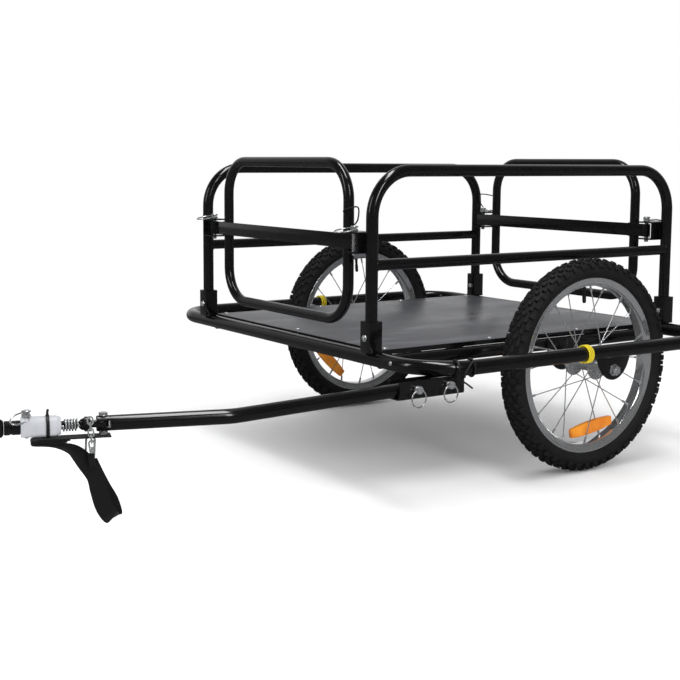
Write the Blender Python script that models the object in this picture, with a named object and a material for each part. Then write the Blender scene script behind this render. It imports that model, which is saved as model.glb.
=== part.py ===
"""A two-wheeled bicycle cargo trailer: a tube ring round both wheels, a flat bed, two hoops and two gates.

Metres, +Z up. +X points to the bicycle and +Y to the drawbar's side, which is the trailer's left.
"""

import math

import bmesh
import bpy
from mathutils import Matrix, Vector

GAP = 0.0003

# Outer ring
RING_RADIUS = 0.0125
RING_RISE = 0.038
RING_HALF_WIDTH = 0.442
RING_HALF_LENGTH = 0.356
RING_BEND = 0.092

# Bed
RAIL_RADIUS = 0.0115
PANEL_THICKNESS = 0.009
PANEL_SIDE_CLEARANCE = 0.0118
LEDGE_WIDTH = 0.030
LEDGE_THICKNESS = 0.0027
LEDGE_DROP = 0.0004
CROSS_MEMBERS = 3
BOLT_HEAD_RADIUS = 0.0055
BOLT_HEAD_HEIGHT = 0.0028
BOLT_INSET_X = 0.016
BOLT_INSET_Y = 0.010
BOLT_SEAT = 0.0006
BOLT_SEAT_CLEARANCE = 0.001

# Side hoops
HOOP_RADIUS = 0.0105
HOOP_LEAD = 0.005
HOOP_RISE = 0.315
MID_RAIL_RISE = 0.158
MID_RAIL_RADIUS = 0.0097
HOOP_BEND = 0.078

# Brackets that hold the hoop posts
BRACKET_WALL = 0.0025
BRACKET_ABOVE_BOLT = 0.028
POST_CLEARANCE = 0.0004
POST_BOLT_RADIUS = 0.003
POST_BOLT_RISE = 0.036
POST_BOLT_HEAD_RADIUS = 0.0058
POST_BOLT_HEAD_DEPTH = 0.004
HOLE_CLEARANCE = 0.0004

# Gates
GATE_RADIUS = 0.0095
GATE_SETBACK = 0.006
GATE_INSET = 0.0415
GATE_TOP_RISE = 0.3284
GATE_BOTTOM_RISE = 0.0538
GATE_BEND = 0.064
BAR_HEIGHT = 0.0256
BAR_THICKNESS = 0.004
BAR_RISE = 0.1951
BAR_SINK = 0.001
GATE_PIN_INSET = 0.036
GATE_PIN_RADIUS = 0.004
EYE_RADIUS = 0.0075
EYE_CLEARANCE = 0.0005
EYE_RISE = 0.0008
BLADE_OVERHANG = 0.0130
FLANGE_THICKNESS = 0.003
FLANGE_CLEARANCE = 0.0022
FLANGE_OVERHANG = 0.0135
FLANGE_REACH = 0.0125
PIN_HEAD_RADIUS = 0.0065
PIN_HEAD_DEPTH = 0.009
PIN_TAIL = 0.005
PIN_RING_RADIUS = 0.019
PIN_RING_DROOP = 0.17
PIN_RING_WIRE = 0.0012
CORD_RADIUS = 0.0013

# Wheels
WHEEL_RADIUS = 0.196
WHEEL_X = -0.072
TYRE_HALF_WIDTH = 0.0225
TYRE_DEPTH = 0.0395
BEAD_HALF_WIDTH = 0.0118
RIM_HALF_WIDTH = 0.0140
RIM_LIP_HEIGHT = 0.005
RIM_DEPTH = 0.011
HUB_HALF_LENGTH = 0.046
HUB_RADIUS = 0.0125
FLANGE_RADIUS = 0.024
FLANGE_OFFSET = 0.028
HUB_FLANGE_THICKNESS = 0.003
SPOKES = 20
SPOKE_RADIUS = 0.0011
SPOKE_LEAN = 0.75
SPOKE_STAGGER = 0.0014
SPOKE_RIM_OFFSET = 0.0045
SPOKE_END_CLEARANCE = 0.0012
AXLE_RADIUS = 0.005
HUB_CLEARANCE = 0.0005
INNER_SPACER = 0.0102
OUTER_SPACER = 0.0192
NUT_RADIUS = 0.0095
NUT_DEPTH = 0.008
AXLE_END = 0.002
SPACER_RADIUS = 0.0076
VALVE_RADIUS = 0.0038
VALVE_LENGTH = 0.030
VALVE_SEAT = 0.0009
VALVE_ANGLE = 86
REFLECTOR_LENGTH = 0.104
REFLECTOR_HEIGHT = 0.0235
REFLECTOR_DEPTH = 0.0086
REFLECTOR_ARC = 0.340
REFLECTOR_ARC_SIDES = 96
REFLECTOR_INSET = 0.0260
REFLECTOR_ANGLE_LEFT = -98.5
REFLECTOR_ANGLE_RIGHT = -45

# Plates that carry the axles
PLATE_THICKNESS = 0.004
PLATE_RADIUS = 0.043
PLATE_DROP = 0.018
PLATE_RISE = 0.006

# Yellow cord bands on the ring
BAND_LOOPS = 3
BAND_WIRE = 0.0016
BAND_PITCH = 0.0045
BAND_X_LEFT = 0.014
BAND_X_RIGHT = -0.018

# Drawbar and its socket
DRAWBAR_RADIUS = 0.011
DRAWBAR_INSET = 0.022
DRAWBAR_CLEARANCE = 0.001
DRAWBAR_FALL = 0.0105
DRAWBAR_REAR_INSET = 0.005
DRAWBAR_MIDDLE_LENGTH = 0.289
DRAWBAR_TURN = math.radians(18)
DRAWBAR_BEND = 0.080
DRAWBAR_FRONT_RUN = 0.1935
SOCKET_OVERHANG = 0.055
SOCKET_LENGTH = 0.131
SOCKET_WALL = 0.0025
SOCKET_CLEARANCE = 0.0010
LOCK_PIN_INSETS = {"front": 0.0344, "rear": 0.0990}
LOCK_PIN_RADIUS = 0.004
LOCK_RING_RADIUS = 0.014

# Hitch, measured forward from the drawbar's bend
HITCH_BOLT_RUN = 0.184
HITCH_BOLT_RADIUS = 0.003
HITCH_BOLT_HEAD = 0.0065
HITCH_BOLT_HEAD_DEPTH = 0.0045
TONGUE_THICKNESS = 0.008
TONGUE_HALF_WIDTH = 0.008
SLOT_HEIGHT = 0.010
SLOT_DEPTH = 0.0190
BALL_RUN = 0.2100
BALL_RADIUS = 0.0087
COLLAR_RADIUS = 0.0105
COLLAR_LENGTH = 0.0082
SPRING_RUN = 0.2190
SPRING_LENGTH = 0.0200
SPRING_RADIUS = 0.0077
SPRING_WIRE = 0.0013
SPRING_TURNS = 5
SPRING_STEPS = 9
SLEEVE_LENGTH = 0.054
SLEEVE_RADIUS = 0.0145
STUB_LENGTH = 0.022
STUB_RADIUS = 0.010
COUPLER_PIN_RUN = 0.2882
COUPLER_PIN_RADIUS = 0.0035
COUPLER_PIN_TAIL = 0.001
COUPLER_LENGTH = 0.040
COUPLER_WIDTH = 0.026
COUPLER_THICKNESS = 0.005
COUPLER_HOLE_RADIUS = 0.0052
COUPLER_HOLE_INSET = 0.0152

# Safety strap
STRAP_WIDTH = 0.024
STRAP_THICKNESS = 0.0018
STRAP_REACH = 0.0985
STRAP_DROP = 0.117
STRAP_SPREAD = 0.007
HOOK_WIRE = 0.0016
HOOK_RUN = 0.017
HOOK_LENGTH = 0.040
HOOK_LEAN = 0.002
HOOK_HALF_WIDTH = 0.006
HOOK_BEND = 0.0055

# Derived places
RING_HEIGHT = WHEEL_RADIUS + RING_RISE
HOOP_TOP = RING_HEIGHT + HOOP_RISE
HOOP_MID = RING_HEIGHT + MID_RAIL_RISE
POST_BOLT_HEIGHT = RING_HEIGHT + POST_BOLT_RISE
GATE_TOP = RING_HEIGHT + GATE_TOP_RISE
GATE_BOTTOM = RING_HEIGHT + GATE_BOTTOM_RISE
BAR_LEVEL = RING_HEIGHT + BAR_RISE
PANEL_TOP = RING_HEIGHT + RING_RADIUS + 0.001
RAIL_TOP = PANEL_TOP - PANEL_THICKNESS - GAP
RAIL_HEIGHT = RAIL_TOP - RAIL_RADIUS
LEDGE_TOP = RAIL_TOP - LEDGE_DROP
PANEL_HALF_LENGTH = RING_HALF_LENGTH - RING_RADIUS - 0.0025
BRACKET_BOTTOM = RING_HEIGHT + RING_RADIUS + GAP
BRACKET_TOP = POST_BOLT_HEIGHT + BRACKET_ABOVE_BOLT
BRACKET_HALF_WIDTH = HOOP_RADIUS + POST_CLEARANCE + BRACKET_WALL
BAR_OFFSET = GATE_RADIUS + BAR_THICKNESS / 2 - BAR_SINK
LATCH_OFFSET = BAR_THICKNESS / 2 + GAP + GATE_PIN_RADIUS
FLANGE_LEVEL = BAR_HEIGHT / 2 + FLANGE_CLEARANCE
OUTER_PLATE_Y = RING_HALF_WIDTH - RING_RADIUS - GAP - PLATE_THICKNESS
WHEEL_Y = OUTER_PLATE_Y - OUTER_SPACER - HUB_HALF_LENGTH
INNER_PLATE_Y = WHEEL_Y - HUB_HALF_LENGTH - INNER_SPACER - PLATE_THICKNESS
RAIL_Y = INNER_PLATE_Y - GAP - RAIL_RADIUS
PANEL_HALF_WIDTH = INNER_PLATE_Y - PANEL_SIDE_CLEARANCE
HOOP_HALF_LENGTH = RING_HALF_LENGTH + HOOP_LEAD
GATE_PLANE = HOOP_HALF_LENGTH - GATE_SETBACK
GATE_PIN_Y = RAIL_Y - GATE_PIN_INSET
GATE_HALF_WIDTH = GATE_PIN_Y - GATE_INSET
BLADE_REACH = GATE_PIN_Y + BLADE_OVERHANG
FLANGE_INNER_EDGE = GATE_PIN_Y - FLANGE_OVERHANG
BEAD_RADIUS = WHEEL_RADIUS - TYRE_DEPTH
RIM_LIP_RADIUS = BEAD_RADIUS + RIM_LIP_HEIGHT
RIM_INNER_RADIUS = BEAD_RADIUS - RIM_DEPTH
REFLECTOR_RADIUS = RIM_INNER_RADIUS - REFLECTOR_INSET
SOCKET_FRONT_X = RING_HALF_LENGTH + SOCKET_OVERHANG
SOCKET_REAR_X = SOCKET_FRONT_X - SOCKET_LENGTH
LOCK_PIN_XS = {name: SOCKET_FRONT_X - inset for name, inset in LOCK_PIN_INSETS.items()}
DRAWBAR_Y = RING_HALF_WIDTH - DRAWBAR_INSET
DRAWBAR_REAR_X = SOCKET_REAR_X + DRAWBAR_REAR_INSET
DRAWBAR_REAR_Z = RING_HEIGHT - RING_RADIUS - DRAWBAR_CLEARANCE - DRAWBAR_RADIUS
DRAWBAR_BEND_X = SOCKET_FRONT_X + DRAWBAR_MIDDLE_LENGTH
DRAWBAR_FRONT_Z = DRAWBAR_REAR_Z - DRAWBAR_FALL
FORWARD = Vector((math.cos(DRAWBAR_TURN), -math.sin(DRAWBAR_TURN), 0))
SIDEWAYS = Vector((math.sin(DRAWBAR_TURN), math.cos(DRAWBAR_TURN), 0))
UP = Vector((0, 0, 1))
BEND_POINT = Vector((DRAWBAR_BEND_X, DRAWBAR_Y, DRAWBAR_FRONT_Z))
SLEEVE_RUN = SPRING_RUN + SPRING_LENGTH + 2 * SPRING_WIRE + GAP
STUB_RUN = SLEEVE_RUN + SLEEVE_LENGTH + GAP
COUPLER_RUN = STUB_RUN + STUB_LENGTH + GAP
FRONT_END = BEND_POINT + FORWARD * (COUPLER_RUN + COUPLER_LENGTH) + SIDEWAYS * COUPLER_THICKNESS / 2
PIN_RING_REACH = 2 * PIN_RING_RADIUS / math.hypot(1, PIN_RING_DROOP) + PIN_RING_WIRE
REAR_END_X = -GATE_PLANE + BAR_OFFSET - LATCH_OFFSET - PIN_RING_REACH
CENTRE = Vector(((FRONT_END.x + REAR_END_X) / 2, 0, 0))


def hitch_point(run, side=0.0, rise=0.0):
    """A point on the drawbar's front run, beside it and above it."""
    return BEND_POINT + FORWARD * run + SIDEWAYS * side + UP * rise


for old in list(bpy.data.objects):
    bpy.data.objects.remove(old)

trailer = bpy.data.collections.new("bicycle_trailer")
helpers = bpy.data.collections.new("cutters")
bpy.context.scene.collection.children.link(trailer)
bpy.context.scene.collection.children.link(helpers)
origin = bpy.data.objects.new("trailer_centre", None)
origin.location = -CENTRE
trailer.objects.link(origin)


def material(name, colour, roughness, metallic):
    made = bpy.data.materials.new(name)
    made.use_nodes = True
    shader = made.node_tree.nodes["Principled BSDF"]
    shader.inputs["Base Color"].default_value = (*colour, 1)
    shader.inputs["Roughness"].default_value = roughness
    shader.inputs["Metallic"].default_value = metallic
    return made


BLACK = material("black_powder_coat", (0.012, 0.012, 0.014), 0.25, 0.0)
PANEL = material("grey_panel", (0.06, 0.06, 0.065), 0.45, 0.0)
STEEL = material("bright_steel", (0.62, 0.62, 0.64), 0.25, 1.0)
RUBBER = material("tyre_rubber", (0.015, 0.015, 0.016), 0.8, 0.0)
AMBER = material("amber_plastic", (0.9, 0.28, 0.01), 0.3, 0.0)
YELLOW = material("yellow_cord", (0.85, 0.68, 0.02), 0.6, 0.0)
PALE = material("pale_sleeve", (0.62, 0.63, 0.64), 0.5, 0.0)
WEBBING = material("black_webbing", (0.012, 0.012, 0.013), 0.85, 0.0)


def place(made, name, look):
    """Names a finished piece and hangs it on the trailer's centre."""
    made.name = name
    made.data.materials.clear()
    made.data.materials.append(look)
    for home in list(made.users_collection):
        home.objects.unlink(made)
    trailer.objects.link(made)
    made.parent = origin
    if made.type == "MESH":
        made.data.shade_smooth()
        made.data.set_sharp_from_angle(angle=math.radians(35))
    return made


def from_bmesh(shape):
    bmesh.ops.recalc_face_normals(shape, faces=shape.faces)
    mesh = bpy.data.meshes.new("shape")
    shape.to_mesh(mesh)
    shape.free()
    made = bpy.data.objects.new("shape", mesh)
    helpers.objects.link(made)
    return made


def box(low, high):
    shape = bmesh.new()
    low, high = Vector(low), Vector(high)
    bmesh.ops.create_cube(shape, size=1)
    bmesh.ops.scale(shape, vec=high - low, verts=shape.verts)
    bmesh.ops.translate(shape, vec=(high + low) / 2, verts=shape.verts)
    return from_bmesh(shape)


def rod(start, end, radius, sides=12, end_radius=None):
    """A cylinder, or a cone, from one point to another."""
    start, end = Vector(start), Vector(end)
    run = end - start
    turn = run.to_track_quat("Z", "Y").to_matrix().to_4x4()
    shape = bmesh.new()
    bmesh.ops.create_cone(
        shape,
        cap_ends=True,
        segments=sides,
        radius1=radius,
        radius2=radius if end_radius is None else end_radius,
        depth=run.length,
        matrix=Matrix.Translation((start + end) / 2) @ turn,
    )
    return from_bmesh(shape)


def turned(profile, centre, sides):
    """A closed profile of (along, radius) points, turned round a line along Y."""
    shape = bmesh.new()
    corners = [shape.verts.new((radius, along, 0)) for along, radius in profile]
    edges = [shape.edges.new((a, b)) for a, b in zip(corners, corners[1:] + corners[:1])]
    bmesh.ops.spin(
        shape, geom=corners + edges, cent=(0, 0, 0), axis=(0, 1, 0), angle=2 * math.pi, steps=sides
    )
    bmesh.ops.remove_doubles(shape, verts=shape.verts, dist=0.00001)
    bmesh.ops.translate(shape, vec=centre, verts=shape.verts)
    return from_bmesh(shape)


def bent(corners, radius, steps, closed=False):
    """The corner points as a path whose corners are arcs of this radius."""
    corners = [Vector(corner) for corner in corners]
    count = len(corners)
    path = []
    for i, corner in enumerate(corners):
        if not closed and i in (0, count - 1):
            path.append(corner)
            continue
        before = (corners[i - 1] - corner).normalized()
        after = (corners[(i + 1) % count] - corner).normalized()
        half = before.angle(after) / 2
        centre = corner + (before + after).normalized() * radius / math.sin(half)
        start = corner + before * radius / math.tan(half) - centre
        end = corner + after * radius / math.tan(half) - centre
        sweep = start.angle(end)
        for step in range(steps + 1):
            share = step / steps
            a = math.sin((1 - share) * sweep) / math.sin(sweep)
            b = math.sin(share * sweep) / math.sin(sweep)
            path.append(centre + start * a + end * b)
    return path


def tube(path, radius, detail=3, closed=False):
    """A round tube along a path, as a mesh with its caps welded."""
    curve = bpy.data.curves.new("tube", "CURVE")
    curve.dimensions = "3D"
    curve.bevel_depth = radius
    curve.bevel_resolution = detail
    curve.use_fill_caps = True
    spline = curve.splines.new("POLY")
    spline.points.add(len(path) - 1)
    for point, at in zip(spline.points, path):
        point.co = (*at, 1)
    spline.use_cyclic_u = closed
    guide = bpy.data.objects.new("tube", curve)
    helpers.objects.link(guide)
    bpy.context.view_layer.update()
    graph = bpy.context.evaluated_depsgraph_get()
    mesh = bpy.data.meshes.new_from_object(guide.evaluated_get(graph))
    shape = bmesh.new()
    shape.from_mesh(mesh)
    bmesh.ops.remove_doubles(shape, verts=shape.verts, dist=0.00001)
    bpy.data.objects.remove(guide)
    return from_bmesh(shape)


def hide(helper):
    helper.hide_render = True
    helper.display_type = "WIRE"
    helper.parent = origin
    return helper


def combined(base, others, operation):
    for other in others:
        step = base.modifiers.new(operation.lower(), "BOOLEAN")
        step.operation = operation
        step.solver = "EXACT"
        step.object = hide(other)
    return base


def joined(base, *others):
    return combined(base, others, "UNION")


def cut(base, *others):
    return combined(base, others, "DIFFERENCE")


def side_name(side):
    return "left" if side > 0 else "right"


def end_name(end):
    return "front" if end > 0 else "rear"


def make_ring():
    corners = [
        (x * RING_HALF_LENGTH, y * RING_HALF_WIDTH, RING_HEIGHT)
        for x, y in ((1, 1), (-1, 1), (-1, -1), (1, -1))
    ]
    place(tube(bent(corners, RING_BEND, 7, closed=True), RING_RADIUS, 4, closed=True), "ring_frame", BLACK)


def make_bed():
    reach = RING_HALF_LENGTH - RING_RADIUS - GAP
    rails = [
        rod((-reach, side * RAIL_Y, RAIL_HEIGHT), (reach, side * RAIL_Y, RAIL_HEIGHT), RAIL_RADIUS, 12)
        for side in (1, -1)
    ]
    low = LEDGE_TOP - LEDGE_THICKNESS
    strips = []
    for end in (1, -1):
        near, far = sorted((end * reach, end * (reach - LEDGE_WIDTH)))
        strips.append(box((near, -RAIL_Y, low), (far, RAIL_Y, LEDGE_TOP)))
    for i in range(CROSS_MEMBERS):
        x = (i + 1) / (CROSS_MEMBERS + 1) * 2 * reach - reach
        strips.append(box((x - LEDGE_WIDTH / 2, -RAIL_Y, low), (x + LEDGE_WIDTH / 2, RAIL_Y, LEDGE_TOP)))
    place(joined(rails[0], rails[1], *strips), "bed_frame", BLACK)
    low = (-PANEL_HALF_LENGTH, -PANEL_HALF_WIDTH, RAIL_TOP + GAP)
    panel = box(low, (PANEL_HALF_LENGTH, PANEL_HALF_WIDTH, PANEL_TOP))
    for end in (1, -1):
        for side in (1, -1):
            x = end * (PANEL_HALF_LENGTH - BOLT_INSET_X)
            y = side * (PANEL_HALF_WIDTH - BOLT_INSET_Y)
            seat = PANEL_TOP - BOLT_SEAT
            crown = BOLT_HEAD_RADIUS * 0.6
            start = Vector((x, y, seat + GAP))
            head = rod(start, start + UP * BOLT_HEAD_HEIGHT, BOLT_HEAD_RADIUS, 12, crown)
            place(head, f"bed_bolt_{end_name(end)}_{side_name(side)}", STEEL)
            cut(panel, rod((x, y, seat), (x, y, PANEL_TOP + 1), BOLT_HEAD_RADIUS + BOLT_SEAT_CLEARANCE, 12))
    place(panel, "bed_panel", PANEL)


def make_hoop(side):
    y = side * RAIL_Y
    foot = BRACKET_BOTTOM + BRACKET_WALL + GAP
    corners = [
        (HOOP_HALF_LENGTH, y, foot),
        (HOOP_HALF_LENGTH, y, HOOP_TOP),
        (-HOOP_HALF_LENGTH, y, HOOP_TOP),
        (-HOOP_HALF_LENGTH, y, foot),
    ]
    hoop = tube(bent(corners, HOOP_BEND, 7), HOOP_RADIUS)
    rail = rod((-HOOP_HALF_LENGTH, y, HOOP_MID), (HOOP_HALF_LENGTH, y, HOOP_MID), MID_RAIL_RADIUS, 10)
    joined(hoop, rail)
    cut(hoop, *[post_bolt_hole(end, side) for end in (1, -1)])
    place(hoop, f"hoop_{side_name(side)}", BLACK)


def post_bolt_hole(end, side):
    reach = 2 * BRACKET_HALF_WIDTH
    x = end * HOOP_HALF_LENGTH
    start = (x - reach, side * RAIL_Y, POST_BOLT_HEIGHT)
    return rod(start, (x + reach, side * RAIL_Y, POST_BOLT_HEIGHT), POST_BOLT_RADIUS + HOLE_CLEARANCE, 8)


def make_post_bracket(end, side):
    """A square sleeve with a floor, and a bolt through it and the post."""
    x = end * HOOP_HALF_LENGTH
    y = side * RAIL_Y
    half = BRACKET_HALF_WIDTH
    bracket = box((x - half, y - half, BRACKET_BOTTOM), (x + half, y + half, BRACKET_TOP))
    inner = half - BRACKET_WALL
    hollow = box((x - inner, y - inner, BRACKET_BOTTOM + BRACKET_WALL), (x + inner, y + inner, BRACKET_TOP + 0.01))
    cut(bracket, hollow, post_bolt_hole(end, side))
    place(bracket, f"post_bracket_{end_name(end)}_{side_name(side)}", BLACK)
    reach = half + POST_BOLT_HEAD_DEPTH / 2
    seat = half + GAP
    top = seat + POST_BOLT_HEAD_DEPTH
    z = POST_BOLT_HEIGHT
    heads = [rod((x + way * seat, y, z), (x + way * top, y, z), POST_BOLT_HEAD_RADIUS, 6) for way in (1, -1)]
    shank = rod((x - reach, y, z), (x + reach, y, z), POST_BOLT_RADIUS, 8)
    place(joined(shank, *heads), f"post_bolt_{end_name(end)}_{side_name(side)}", STEEL)


def gate_hinge_side(end):
    """The front gate hinges on the right-hand post and the rear gate on the left-hand one."""
    return -end


def bar_x(end):
    return end * GATE_PLANE + BAR_OFFSET


def gate_pin_x(end, side):
    """On the hinge's side the pin runs through the bar's eye, on the other it stands outside the blade."""
    return bar_x(end) if side == gate_hinge_side(end) else bar_x(end) + end * LATCH_OFFSET


def make_gate(end):
    x = end * GATE_PLANE
    hinge = gate_hinge_side(end)
    corners = [
        (x, y * GATE_HALF_WIDTH, z)
        for y, z in ((1, GATE_TOP), (-1, GATE_TOP), (-1, GATE_BOTTOM), (1, GATE_BOTTOM))
    ]
    loop = tube(bent(corners, GATE_BEND, 6, closed=True), GATE_RADIUS, closed=True)
    pivot_y = hinge * GATE_PIN_Y
    low, high = sorted((pivot_y, -hinge * BLADE_REACH))
    bar = box(
        (bar_x(end) - BAR_THICKNESS / 2, low, BAR_LEVEL - BAR_HEIGHT / 2),
        (bar_x(end) + BAR_THICKNESS / 2, high, BAR_LEVEL + BAR_HEIGHT / 2),
    )
    half = BAR_HEIGHT / 2 + EYE_RISE
    pivot = Vector((bar_x(end), pivot_y, BAR_LEVEL))
    eye = rod(pivot - UP * half, pivot + UP * half, EYE_RADIUS, 14)
    bore = rod(pivot - UP * 2 * half, pivot + UP * 2 * half, GATE_PIN_RADIUS + EYE_CLEARANCE, 14)
    joined(loop, bar, eye)
    cut(loop, bore)
    place(loop, f"{end_name(end)}_gate", BLACK)


def make_gate_bracket(end, side):
    """Two flanges and a web beside the post, open to the bed so that the bar can swing in."""
    post_edge = RAIL_Y - HOOP_RADIUS - GAP
    near, far = sorted((side * FLANGE_INNER_EDGE, side * post_edge))
    post_x = end * HOOP_HALF_LENGTH
    pin_x = gate_pin_x(end, side)
    xs = (post_x - HOOP_RADIUS, post_x + HOOP_RADIUS, pin_x - FLANGE_REACH, pin_x + FLANGE_REACH)
    flanges = []
    for way in (1, -1):
        face = BAR_LEVEL + way * FLANGE_LEVEL
        low, high = sorted((face, face + way * FLANGE_THICKNESS))
        flanges.append(box((min(xs), near, low), (max(xs), far, high)))
    web_low, web_high = sorted((side * post_edge, side * (post_edge - FLANGE_THICKNESS)))
    tall = FLANGE_LEVEL + FLANGE_THICKNESS
    web = box((min(xs), web_low, BAR_LEVEL - tall), (max(xs), web_high, BAR_LEVEL + tall))
    joined(web, *flanges)
    hole = rod(
        (pin_x, side * GATE_PIN_Y, BAR_LEVEL - 2 * tall),
        (pin_x, side * GATE_PIN_Y, BAR_LEVEL + 2 * tall),
        GATE_PIN_RADIUS + HOLE_CLEARANCE,
        12,
    )
    cut(web, hole)
    place(web, f"gate_bracket_{end_name(end)}_{side_name(side)}", BLACK)


def circle(centre, across, down, radius, points):
    """Points round a circle in the plane of two directions."""
    turns = [2 * math.pi * i / points for i in range(points)]
    return [centre + (across * math.sin(turn) - down * math.cos(turn)) * radius for turn in turns]


def wire_lock_pin(foot, along, length, radius, across, down, ring_radius):
    """A pin with a knob and a wire ring that hangs from the knob."""
    foot, along = Vector(foot), Vector(along)
    seat = foot + along * length
    shank = rod(foot, seat + along * PIN_HEAD_DEPTH / 2, radius, 12)
    knob = rod(seat, seat + along * PIN_HEAD_DEPTH, PIN_HEAD_RADIUS, 12)
    hang = seat + along * PIN_HEAD_DEPTH * 0.6 + down * ring_radius
    ring = tube(circle(hang, Vector(across), Vector(down), ring_radius, 14), PIN_RING_WIRE, 1, closed=True)
    return joined(shank, knob, ring)


def make_gate_pin(end, side):
    tall = FLANGE_LEVEL + FLANGE_THICKNESS
    x = gate_pin_x(end, side)
    foot = (x, side * GATE_PIN_Y, BAR_LEVEL - tall - PIN_TAIL)
    outward = Vector((end, 0, 0))
    hang = (outward - UP * PIN_RING_DROOP).normalized()
    pin = wire_lock_pin(
        foot, UP, 2 * tall + PIN_TAIL + GAP, GATE_PIN_RADIUS, Vector((0, side, 0)), hang, PIN_RING_RADIUS
    )
    place(pin, f"gate_pin_{end_name(end)}_{side_name(side)}", STEEL)


def make_lanyard(end):
    """A thin cord from the gate's tube to the latch pin's knob."""
    side = -gate_hinge_side(end)
    top = BAR_LEVEL + FLANGE_LEVEL + FLANGE_THICKNESS + PIN_HEAD_DEPTH + GAP
    pin_x = gate_pin_x(end, side)
    outward = end * (GATE_RADIUS + CORD_RADIUS + GAP)
    start = Vector((end * GATE_PLANE + outward, side * GATE_HALF_WIDTH, top + 0.022))
    knob = Vector((pin_x, side * GATE_PIN_Y, top + CORD_RADIUS + GAP))
    corners = [
        start,
        start + Vector((end * 0.004, side * 0.012, 0.004)),
        knob + Vector((end * 0.002, side * 0.012, 0.030)),
        knob + Vector((0, side * 0.010, 0.010)),
        knob,
    ]
    place(tube(bent(corners, 0.004, 3), CORD_RADIUS, 1), f"{end_name(end)}_lanyard", WEBBING)


def make_tyre(side, centre):
    half = TYRE_HALF_WIDTH
    sidewall = [
        (BEAD_HALF_WIDTH, BEAD_RADIUS),
        (BEAD_HALF_WIDTH, RIM_LIP_RADIUS + 0.0008),
        (half * 0.83, RIM_LIP_RADIUS + 0.0055),
        (half, WHEEL_RADIUS - 0.020),
        (half * 0.96, WHEEL_RADIUS - 0.010),
        (half * 0.66, WHEEL_RADIUS - 0.0025),
    ]
    profile = sidewall + [(0, WHEEL_RADIUS)] + [(-along, radius) for along, radius in reversed(sidewall)]
    place(turned(profile, centre, 44), f"tyre_{side_name(side)}", RUBBER)


def make_rim(side, centre):
    half = RIM_HALF_WIDTH
    lip = BEAD_HALF_WIDTH + 0.0004
    flank = [
        (lip, BEAD_RADIUS - 0.0005),
        (lip, RIM_LIP_RADIUS),
        (half, RIM_LIP_RADIUS),
        (half, RIM_LIP_RADIUS - 0.0095),
        (half * 0.6, RIM_INNER_RADIUS),
    ]
    profile = flank + [(-along, radius) for along, radius in reversed(flank)]
    place(turned(profile, centre, 44), f"rim_{side_name(side)}", STEEL)


def make_hub(side, centre):
    """The hub shell with its two flanges and the crossed spokes that end just inside the rim."""
    bore = AXLE_RADIUS + HUB_CLEARANCE
    flange_in = FLANGE_OFFSET - HUB_FLANGE_THICKNESS / 2
    flange_out = FLANGE_OFFSET + HUB_FLANGE_THICKNESS / 2
    half = [
        (flange_in, HUB_RADIUS),
        (flange_in, FLANGE_RADIUS),
        (flange_out, FLANGE_RADIUS),
        (flange_out, HUB_RADIUS),
        (HUB_HALF_LENGTH, HUB_RADIUS * 0.85),
        (HUB_HALF_LENGTH, bore),
    ]
    profile = half + [(-along, radius) for along, radius in reversed(half)]
    hub = turned(profile, centre, 20)
    spokes = []
    for i in range(SPOKES):
        way = 1 if i % 2 else -1
        lean = SPOKE_LEAN if i % 4 < 2 else -SPOKE_LEAN
        at_rim = 2 * math.pi * i / SPOKES
        at_hub = at_rim + lean
        seat = FLANGE_RADIUS - 0.003
        outer = RIM_INNER_RADIUS - SPOKE_END_CLEARANCE
        face = SPOKE_STAGGER if lean > 0 else -SPOKE_STAGGER
        hub_y = way * (FLANGE_OFFSET + face)
        rim_y = way * (SPOKE_RIM_OFFSET + face)
        start = centre + Vector((math.cos(at_hub) * seat, hub_y, math.sin(at_hub) * seat))
        end = centre + Vector((math.cos(at_rim) * outer, rim_y, math.sin(at_rim) * outer))
        spokes.append(rod(start, end, SPOKE_RADIUS, 5))
    place(joined(hub, *spokes), f"hub_{side_name(side)}", STEEL)


def make_axle(side):
    """A solid axle with a nut outside each plate and a spacer inside each."""
    low = INNER_PLATE_Y
    high = OUTER_PLATE_Y + PLATE_THICKNESS

    def along(start, end, radius, sides):
        z = WHEEL_RADIUS
        return rod((WHEEL_X, side * start, z), (WHEEL_X, side * end, z), radius, sides)

    shaft = along(low - NUT_DEPTH - AXLE_END, high + NUT_DEPTH + AXLE_END, AXLE_RADIUS, 12)
    nuts = [
        along(low - GAP - NUT_DEPTH, low - GAP, NUT_RADIUS, 6),
        along(high + GAP, high + GAP + NUT_DEPTH, NUT_RADIUS, 6),
    ]
    spacers = [
        along(low + PLATE_THICKNESS + GAP, WHEEL_Y - HUB_HALF_LENGTH - HUB_CLEARANCE, SPACER_RADIUS, 12),
        along(WHEEL_Y + HUB_HALF_LENGTH + HUB_CLEARANCE, OUTER_PLATE_Y - GAP, SPACER_RADIUS, 12),
    ]
    place(joined(shaft, *nuts, *spacers), f"axle_{side_name(side)}", STEEL)


def make_valve(side, centre):
    angle = math.radians(VALVE_ANGLE)
    spoke = Vector((math.cos(angle), 0, math.sin(angle)))
    top = centre + spoke * (RIM_INNER_RADIUS - VALVE_SEAT)
    place(rod(top, top - spoke * VALVE_LENGTH, VALVE_RADIUS, 10), f"valve_{side_name(side)}", RUBBER)


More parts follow.
